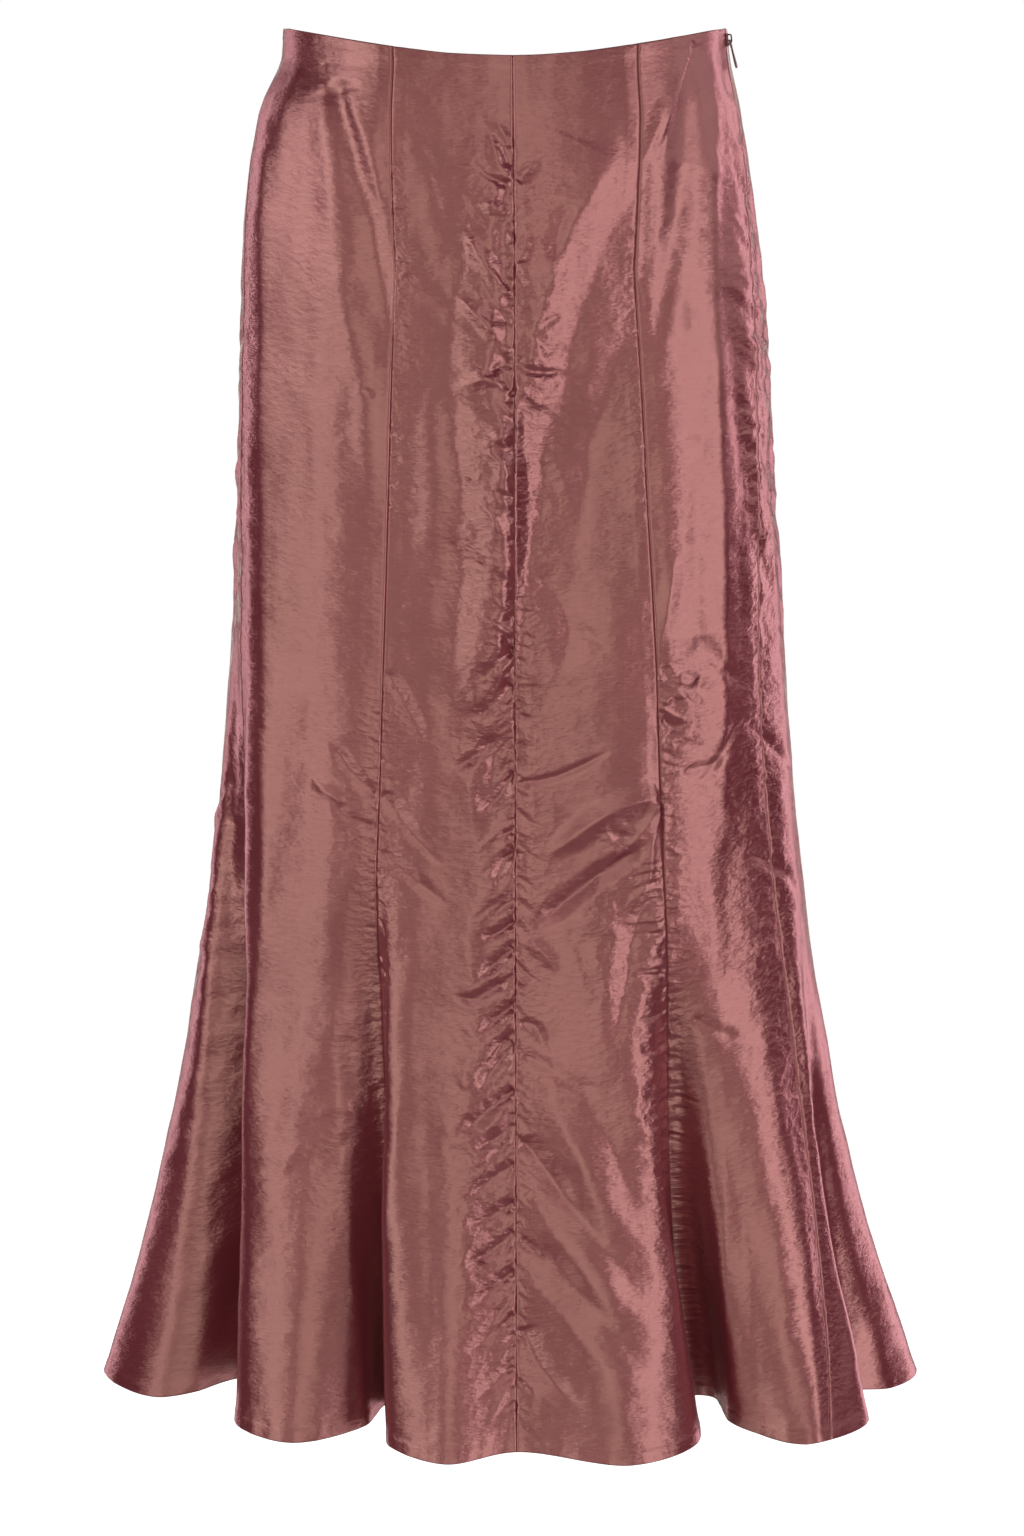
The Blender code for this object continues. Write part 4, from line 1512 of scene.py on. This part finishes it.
def shell_mesh(name: str, outer: np.ndarray, inner: np.ndarray) -> bpy.types.Mesh:
    """Close a grid and one of half its points into a thin wall.

    Args:
        name: The mesh's name.
        outer: The outer grid, shaped columns, rows, 3, with odd counts.
        inner: The inner grid, with every second column and row.

    Returns:
        The mesh.
    """
    columns, rows, _ = outer.shape
    half_columns, half_rows, _ = inner.shape
    out = np.arange(columns * rows).reshape(columns, rows)
    inn = np.arange(half_columns * half_rows).reshape(half_columns, half_rows) + columns * rows
    quads = np.concatenate(
        (
            np.stack((out[:-1, :-1], out[:-1, 1:], out[1:, 1:], out[1:, :-1]), -1).reshape(-1, 4),
            np.stack((inn[:-1, :-1], inn[1:, :-1], inn[1:, 1:], inn[:-1, 1:]), -1).reshape(-1, 4),
        )
    )
    rims = []
    for line_out, line_in in (
        (out[:, 0], inn[:, 0]),
        (out[-1, :], inn[-1, :]),
        (out[::-1, -1], inn[::-1, -1]),
        (out[0, ::-1], inn[0, ::-1]),
    ):
        first, middle, last = line_out[:-1:2], line_out[1::2], line_out[2::2]
        rims.append(np.stack((first, middle, last, line_in[1:], line_in[:-1]), -1))
    fives = np.concatenate(rims)
    points = np.concatenate((outer.reshape(-1, 3), inner.reshape(-1, 3)))
    mesh = bpy.data.meshes.new(name)
    mesh.vertices.add(len(points))
    mesh.vertices.foreach_set("co", points.astype(np.float32).ravel())
    mesh.loops.add(quads.size + fives.size)
    mesh.loops.foreach_set(
        "vertex_index", np.concatenate((quads.ravel(), fives.ravel())).astype(np.int32)
    )
    mesh.polygons.add(len(quads) + len(fives))
    starts = np.concatenate(
        (np.arange(len(quads)) * 4, quads.size + np.arange(len(fives)) * 5)
    ).astype(np.int32)
    mesh.polygons.foreach_set("loop_start", starts)
    mesh.update(calc_edges=True)
    mesh.validate()
    mesh.shade_smooth()
    mesh.set_sharp_from_angle(angle=SHARP_ANGLE)
    return mesh


@dataclass
class Gore:
    """One panel of cloth, from one seam to the next, as a thin shell.

    Its flat size and area are those of the cloth that shows, along its surface.
    """

    name: str
    seam: int
    columns: int
    rows: int
    flat: tuple[float, float]
    area: float
    thickness: float = 0.7 * MM
    seam_gap: float = 0.08 * MM
    seam_dip: float = 0.8 * MM
    seam_reach: float = 0.7 * MM
    pressed: float = 0.10 * MM
    swell_place: float = 2.6 * MM
    swell_reach: float = 2.0 * MM
    allowance: float = 10.5 * MM
    fold_steps: int = 8
    girth_levels: tuple[float, ...] = (0.1, 0.35, 0.6, 0.85, 1.0)
    edge_columns: float = 0.22
    edge_growth: float = 1.22
    edge_rows: tuple[float, ...] = (0.0, 0.25 * MM, 0.6 * MM, 1.0 * MM)
    next_row: float = 1.8 * MM
    hem_turn: float = 9 * MM
    waist_turn: float = 8 * MM
    turned_step: float = 0.3 * MM
    edge_rounding: float = 0.9 * MM
    ripple: float = 0.35 * MM
    ripple_length: float = 7 * MM
    ripple_seed: int = 73

    def turns(self) -> np.ndarray:
        """Place the columns, closest beside the seams.

        Returns:
            Their places as counts of folds.
        """
        seams = [index for index, fold in enumerate(FOLDS) if fold.place == int(fold.place)]
        first, last = (seams + [len(FOLDS)])[self.seam : self.seam + 2]
        fine = np.linspace(first, last, (last - first) * self.fold_steps + 1)
        rings = FORM.patch(fine, np.array(self.girth_levels))
        steps = np.linalg.norm(np.diff(rings, axis=0), axis=-1).mean(axis=1)
        girth = np.concatenate(([0], np.cumsum(steps)))
        ramp = self.edge_columns * self.edge_growth ** np.arange(self.columns - 1)
        gaps = np.minimum(1, np.minimum(ramp, ramp[::-1]))
        places = np.concatenate(([0], np.cumsum(gaps))) / gaps.sum()
        return np.interp(places * girth[-1], girth, fine)

    def shares(self) -> np.ndarray:
        """Place the rows, with a few close ones at both edges.

        Returns:
            Their shares of the length.
        """
        close = np.array(self.edge_rows) / FORM.length
        start = self.next_row / FORM.length
        middle = np.linspace(start, 1 - start, self.rows - 2 * len(close))
        return np.concatenate((close, middle, 1 - close[::-1]))

    def relief(
        self, surface: np.ndarray, normal: np.ndarray, after: np.ndarray, before: np.ndarray
    ) -> tuple[np.ndarray, np.ndarray]:
        """Work out how far the cloth stands proud of the smooth form.

        Args:
            surface: The smooth grid.
            normal: Its normals.
            after: Each point's distance from the gore's first seam.
            before: Each point's distance from its last seam.

        Returns:
            The heights, and how puckered the cloth is, from 0 to 1.
        """
        relief = Relief(surface, normal, after, before)
        relief.add_creases(CREASES)
        for drape in DRAPES:
            relief.add_drape(drape)
        relief.add_flattening(FLATTENING)
        for waves in WAVES:
            relief.add_waves(waves, self.seam)
        for number, run in enumerate(PUCKERS):
            away, gore = (relief.after, run.seam) if run.ahead else (relief.before, run.seam - 1)
            if gore % len(SEAMS) == self.seam:
                relief.add_puckers(run, number, away)
        for pull in PULLS:
            for away in relief.beside(self.seam, pull.seam):
                relief.add_pull(pull, away)
        for patch in CRUMPLES:
            relief.add_crumple(patch)
        shape = surface.shape[:2]
        return relief.height.reshape(shape) * MM, np.clip(relief.pucker, 0, 1).reshape(shape)

    def seam_profile(self, distance: np.ndarray) -> np.ndarray:
        """Work out how the cloth rolls in at a seam, with the pressed allowance beneath it.

        Args:
            distance: Each point's distance from the nearest seam.

        Returns:
            The heights.
        """
        groove = -self.seam_dip * np.exp(-((distance / self.seam_reach) ** 2))
        swell = np.exp(-(((distance - self.swell_place) / self.swell_reach) ** 2))
        beneath = 1 - ease(distance, self.allowance - 1 * MM, self.allowance + 1 * MM)
        return groove + self.pressed * (swell + beneath)

    def edge_profile(self, down: np.ndarray, up: np.ndarray, after: np.ndarray) -> np.ndarray:
        """Work out the turned waist and hem edges and the hem's slight ripple.

        Args:
            down: Each point's distance from the waist edge.
            up: Each point's distance from the hem.
            after: Each point's distance from the gore's first seam.

        Returns:
            The heights.
        """
        across = after / self.ripple_length + 40 * self.seam + 3.3
        noise = gradient_noise(across, np.full_like(after, 0.4), self.ripple_seed)
        ripple = self.ripple * noise
        height = ripple * (1 - ease(up, self.hem_turn, 2 * self.hem_turn))
        for edge, turn in ((down, self.waist_turn), (up, self.hem_turn)):
            height += self.turned_step * (1 - ease(edge, turn - 1.2 * MM, turn + 0.8 * MM))
            height -= 0.5 * self.thickness * np.clip(1 - edge / self.edge_rounding, 0, 1) ** 2
        return height

    def seam_normals(self, turn: float) -> np.ndarray:
        """Work out the form's normals along a seam, which both of its gores share.

        Args:
            turn: The seam's place as a count of folds.

        Returns:
            A normal for each row.
        """
        aside = [FORM.column((turn + step) % len(FOLDS), self.shares()) for step in (-0.01, 0.01)]
        down = np.gradient(FORM.column(turn % len(FOLDS), self.shares()), axis=0)
        normal = np.cross(down, aside[1] - aside[0])
        return normal / np.linalg.norm(normal, axis=-1, keepdims=True)

    def build(self) -> tuple[bpy.types.Object, Row, Row]:
        """Make the gore's shell.

        Returns:
            Its object, the line of its first seam and the line that its hem is sewn along.
        """
        turns = self.turns()
        surface = FORM.patch(turns, self.shares())
        normal = grid_normals(surface)
        normal[0], normal[-1] = self.seam_normals(turns[0]), self.seam_normals(turns[-1])
        after, down = lengths_along(surface, 0), lengths_along(surface, 1)
        before, up = after[-1] - after, down[:, -1:] - down
        height, pucker = self.relief(surface, normal, after, before)
        height += self.seam_profile(np.minimum(after, before)) + self.edge_profile(down, up, after)
        outer = surface + normal * height[..., None]
        tangent = np.gradient(surface, axis=0)
        tangent /= np.linalg.norm(tangent, axis=-1, keepdims=True)
        outer[0] += tangent[0] * self.seam_gap / 2
        outer[-1] -= tangent[-1] * self.seam_gap / 2
        inner = self.inner_skin(surface, normal, height)
        mesh = shell_mesh(self.name, outer, inner)
        self.add_layers(mesh, after, down, pucker)
        piece = bpy.data.objects.new(self.name + "_cloth", mesh)
        bpy.context.scene.collection.objects.link(piece)
        sewn = int(np.argmin(np.abs(up.mean(axis=0) - self.hem_turn)))
        return piece, Row(outer[0], tangent[0]), Row(outer[:, sewn], tangent[:, sewn])

    def inner_skin(
        self, surface: np.ndarray, normal: np.ndarray, height: np.ndarray
    ) -> np.ndarray:
        """Lay the shell's inner side just inside the lowest outer points.

        Args:
            surface: The smooth grid.
            normal: Its normals.
            height: How far the outer side stands proud of it.

        Returns:
            Every second point of the inner side.
        """
        padded = np.pad(height, 1, mode="edge")
        columns, rows = height.shape
        lowest = np.min(
            [padded[c : c + columns, r : r + rows] for c in range(3) for r in range(3)], axis=0
        )
        return (surface + normal * (lowest - self.thickness)[..., None])[::2, ::2]

    def add_layers(
        self, mesh: bpy.types.Mesh, after: np.ndarray, down: np.ndarray, pucker: np.ndarray
    ) -> None:
        """Give the mesh its cloth coordinates and the amount of pucker.

        The coordinates are in metres, and each gore's start a metre on from the last one's.

        Args:
            mesh: The shell's mesh.
            after: Each point's distance from the gore's first seam.
            down: Each point's distance from the waist edge.
            pucker: How puckered the cloth is there.
        """
        along, drop, amount = (
            np.concatenate((grid.ravel(), grid[::2, ::2].ravel()))
            for grid in (after + self.seam, -down, pucker)
        )
        corners = np.zeros(len(mesh.loops), np.int32)
        mesh.loops.foreach_get("vertex_index", corners)
        layer = mesh.uv_layers.new(name=UV_NAME)
        pairs = np.stack((along[corners], drop[corners]), axis=-1)
        layer.data.foreach_set("uv", pairs.astype(np.float32).ravel())
        attribute = mesh.attributes.new(PUCKER_NAME, "FLOAT", "POINT")
        attribute.data.foreach_set("value", amount.astype(np.float32))

    def dress(self, piece: bpy.types.Object, finish: bpy.types.Material) -> None:
        """Give the shell its material and its place in the frame.

        Args:
            piece: The shell.
            finish: The cloth's material.
        """
        piece.data.materials.append(finish)
        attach(piece, "skirt")
        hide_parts(self.name)


GORES = (
    Gore("front_centre_left", 0, 69, 801, (0.204, 0.956), 0.1053),
    Gore("front_side_left", 1, 69, 801, (0.113, 0.983), 0.0950),
    Gore("back_side_left", 2, 101, 421, (0.467, 0.983), 0.2282),
    Gore("back_centre_left", 3, 57, 421, (0.196, 0.953), 0.1024),
    Gore("back_centre_right", 4, 57, 421, (0.193, 0.952), 0.1039),
    Gore("back_side_right", 5, 101, 421, (0.421, 0.973), 0.2236),
    Gore("front_side_right", 6, 75, 801, (0.207, 0.967), 0.1277),
    Gore("front_centre_right", 7, 69, 801, (0.159, 0.953), 0.0944),
)


# -------------------------------------------------------------------------------------------------
# Stitches
# -------------------------------------------------------------------------------------------------


@dataclass(frozen=True)
class Stitching:
    """Rows of stitches, which a node tree with named sizes sets along their lines."""

    name: str
    pitch: float
    length: float
    radius: float
    seed: int
    sides: int = 5
    spread: Span = (0.8, 1.15)

    def tree(self) -> bpy.types.NodeTree:
        """Build the tree: even points on the lines, with a short bar of thread on each.

        Returns:
            The tree.
        """
        tree = bpy.data.node_groups.new(self.name, "GeometryNodeTree")
        sockets = ("Pitch", "Float"), ("Length", "Float"), ("Radius", "Float"), ("Seed", "Int")
        for name, kind in (("Geometry", "Geometry"), *sockets, ("Finish", "Material")):
            tree.interface.new_socket(name, in_out="INPUT", socket_type="NodeSocket" + kind)
        tree.interface.new_socket("Geometry", in_out="OUTPUT", socket_type="NodeSocketGeometry")
        bench = NodeBench(tree)
        given = bench.add("NodeGroupInput").outputs
        curves = bench.add("GeometryNodeMeshToCurve", {}, {0: given["Geometry"]})
        points = bench.add(
            "GeometryNodeResampleCurve",
            {"mode": "LENGTH"},
            {"Curve": curves.outputs[0], "Length": given["Pitch"]},
        )
        way = bench.add(
            "GeometryNodeInputNamedAttribute", {"data_type": "FLOAT_VECTOR"}, {"Name": "way"}
        )
        turn = bench.add(
            "FunctionNodeAlignRotationToVector", {"axis": "Z"}, {"Vector": way.outputs[0]}
        )
        least, most = self.spread
        scale = bench.add(
            "FunctionNodeRandomValue", {"data_type": "FLOAT"}, {2: least, 3: most, 8: given["Seed"]}
        )
        bar = bench.add(
            "GeometryNodeMeshCylinder",
            {},
            {"Vertices": self.sides, "Radius": given["Radius"], "Depth": given["Length"]},
        )
        bars = bench.add(
            "GeometryNodeInstanceOnPoints",
            {},
            {
                "Points": points.outputs[0],
                "Instance": bar.outputs[0],
                "Rotation": turn.outputs[0],
                "Scale": scale.outputs[1],
            },
        )
        real = bench.add("GeometryNodeRealizeInstances", {}, {0: bars.outputs[0]})
        finished = bench.add(
            "GeometryNodeSetMaterial", {}, {"Geometry": real.outputs[0], "Material": given["Finish"]}
        )
        bench.add("NodeGroupOutput", {}, {0: finished.outputs[0]})
        return tree

    def build(self, rows: Sequence[Row], finish: bpy.types.Material) -> bpy.types.Object:
        """Make the stitches of some rows as one plain mesh.

        Args:
            rows: The rows, in the skirt's place.
            finish: The thread's material.

        Returns:
            Their object, which rides with the skirt.
        """
        counts = [len(row.points) for row in rows]
        starts = np.cumsum([0, *counts[:-1]])
        edges = [(start + i, start + i + 1) for start, n in zip(starts, counts) for i in range(n - 1)]
        guide = bpy.data.meshes.new(self.name)
        guide.from_pydata(np.concatenate([row.points for row in rows]), edges, [])
        layer = guide.attributes.new("way", "FLOAT_VECTOR", "POINT")
        ways = np.concatenate([row.ways for row in rows])
        layer.data.foreach_set("vector", ways.astype(np.float32).ravel())
        piece = bpy.data.objects.new(self.name, guide)
        bpy.context.scene.collection.objects.link(piece)
        modifier = piece.modifiers.new("stitches", "NODES")
        tree = self.tree()
        modifier.node_group = tree
        values = {"Pitch": self.pitch, "Length": self.length, "Radius": self.radius}
        values |= {"Seed": self.seed, "Finish": finish}
        for item in tree.interface.items_tree:
            if item.in_out == "INPUT" and item.name in values:
                modifier[item.identifier] = values[item.name]
        evaluated = piece.evaluated_get(bpy.context.evaluated_depsgraph_get())
        plain = bpy.data.meshes.new_from_object(evaluated)
        piece.modifiers.clear()
        piece.data = plain
        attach(piece, "skirt")
        return piece


SEAM_STITCHES = Stitching("seam_stitches", 2.4 * MM, 0.8 * MM, 0.08 * MM, 5)
HEM_STITCHES = Stitching("hem_stitches", 7.0 * MM, 0.8 * MM, 0.09 * MM, 6)


# -------------------------------------------------------------------------------------------------
# Zip
# -------------------------------------------------------------------------------------------------


@dataclass(frozen=True)
class Zip:
    """The concealed zip's slider and pull, which are the frame's own solids."""

    nodes: tuple[str, ...] = ("zip_slider", "zip_pull")

    def dress(
        self, solids: dict[str, bpy.types.Object], finish: bpy.types.Material
    ) -> list[bpy.types.Object]:
        """Give both their enamel.

        Args:
            solids: The frame's solids by node.
            finish: The enamel.

        Returns:
            Both pieces.
        """
        pieces = [solids[node] for node in self.nodes]
        for piece in pieces:
            piece.data.materials.clear()
            piece.data.materials.append(finish)
        return pieces


# -------------------------------------------------------------------------------------------------
# Studio
# -------------------------------------------------------------------------------------------------


class Softbox(NamedTuple):
    """A studio light. Its bearing is in degrees from the front to the left, the rest in metres.

    Its radiance is in watts, for each square metre and each steradian.
    """

    name: str
    bearing: float
    lift: float
    distance: float
    width: float
    height: float
    radiance: float
    tint: Colour


CREAM = (1.0, 1.0, 0.90)
IVORY = (1.0, 0.98, 0.92)
BLUSH = (1.0, 0.89, 0.92)
ROSY = (1.0, 0.64, 0.72)


@dataclass
class Studio:
    """The camera, the lights and the pale floor. The lens is in mm."""

    eye: tuple[float, float, float] = (0.0028, -2.600, -0.080)
    aim: tuple[float, float, float] = (0.0028, 0.0, -0.5141)
    lens: float = 87.14
    floor_drop: float = 1.9
    floor_size: float = 60.0
    ambient: float = 0.05
    softboxes: tuple[Softbox, ...] = (
        Softbox("front", 0, 0.1, 3.4, 2.45, 3.4, 1.43, CREAM),
        Softbox("left_fill", 28, 0.25, 2.6, 0.6, 0.6, 0.5, CREAM),
        Softbox("right_fill", -28, 0.25, 2.6, 0.6, 0.6, 0.5, CREAM),
        Softbox("front_left", 54, 0.1, 2.6, 1.15, 2.9, 3.05, BLUSH),
        Softbox("front_right", -53, 0.1, 2.6, 1.2, 2.9, 2.15, IVORY),
        Softbox("front_high", 0, 2.5, 2.6, 2.4, 1.2, 1.8, BLUSH),
        Softbox("side_right", -75, 1.1, 2.6, 1.15, 1.6, 2.5, BLUSH),
        Softbox("side_left", 92, 1.1, 2.6, 0.8, 1.6, 1.8, BLUSH),
        Softbox("back_left", 130, 0.0, 2.6, 1.2, 2.9, 2.7, ROSY),
        Softbox("back_right", -134, 0.0, 2.6, 1.0, 2.9, 2.0, ROSY),
        Softbox("back", 180, 0.1, 3.4, 2.6, 3.4, 1.32, CREAM),
        Softbox("back_high", 180, 2.5, 2.6, 2.4, 1.2, 1.8, BLUSH),
    )

    def add_camera(self) -> None:
        """Make the camera."""
        data = bpy.data.cameras.new("camera")
        data.lens = self.lens
        camera = bpy.data.objects.new("camera", data)
        camera.location = self.eye
        look = Vector(self.aim) - Vector(self.eye)
        camera.rotation_euler = look.to_track_quat("-Z", "Y").to_euler()
        bpy.context.scene.collection.objects.link(camera)
        bpy.context.scene.camera = camera

    def add_softbox(self, box: Softbox) -> None:
        """Make one softbox that faces the skirt's middle.

        Args:
            box: The softbox.
        """
        data = bpy.data.lights.new(box.name, "AREA")
        data.shape = "RECTANGLE"
        data.size, data.size_y = box.width, box.height
        data.color = box.tint
        data.energy = box.radiance * math.pi * box.width * box.height
        light = bpy.data.objects.new(box.name, data)
        turn = math.radians(box.bearing)
        middle = Vector((0, 0, self.aim[2]))
        place = Vector((math.sin(turn), -math.cos(turn), 0)) * box.distance
        light.location = middle + place + Vector((0, 0, box.lift))
        look = middle - light.location
        light.rotation_euler = look.to_track_quat("-Z", "Y").to_euler()
        light.visible_camera = False
        bpy.context.scene.collection.objects.link(light)

    def add_lights(self) -> None:
        """Make the ring of softboxes and the sky."""
        for box in self.softboxes:
            self.add_softbox(box)
        world = bpy.data.worlds.new("studio")
        bpy.context.scene.world = world
        world.use_nodes = True
        bench = NodeBench(world.node_tree)
        camera_ray = bench.signal(bench.add("ShaderNodeLightPath"), "Is Camera Ray")
        grey = (self.ambient,) * 3
        shade = bench.mix(camera_ray, grey, (1.0, 1.0, 1.0))
        bench.feed(world.node_tree.nodes["Background"].inputs["Color"], shade)

    def add_floor(self) -> None:
        """Make the pale floor."""
        size = self.floor_size
        mesh = bpy.data.meshes.new("floor")
        corners = [(-size, -size), (size, -size), (size, size), (-size, size)]
        mesh.from_pydata([(x, y, -self.floor_drop) for x, y in corners], [], [(0, 1, 2, 3)])
        floor = bpy.data.objects.new("floor", mesh)
        floor.data.materials.append(PalePaint().build())
        bpy.context.scene.collection.objects.link(floor)

    def build(self) -> None:
        """Make all of it."""
        self.add_camera()
        self.add_lights()
        self.add_floor()
        settings = bpy.context.scene.view_settings
        settings.view_transform = "Standard"


def clear_scene() -> None:
    """Remove every object."""
    for thing in list(bpy.data.objects):
        bpy.data.objects.remove(thing, do_unlink=True)


def report(piece: bpy.types.Object) -> None:
    """Log a piece's name and how many faces it has."""
    LOG.info("%s: %d faces", piece.name, len(piece.data.polygons))


def main() -> None:
    """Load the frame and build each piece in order."""
    logging.basicConfig(level=logging.INFO, format="%(message)s")
    clear_scene()
    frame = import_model()
    Studio().build()
    taffeta = Taffeta().build()
    seams, hems = [], []
    for gore in GORES:
        piece, seam, hem = gore.build()
        gore.dress(piece, taffeta)
        seams.append(seam)
        hems.append(hem)
        report(piece)
    thread = Thread().build()
    for stitching, rows in ((SEAM_STITCHES, seams), (HEM_STITCHES, hems)):
        report(stitching.build(rows, thread))
    for piece in Zip().dress(frame["nodes"], Enamel().build()):
        report(piece)


if __name__ == "__main__":
    main()
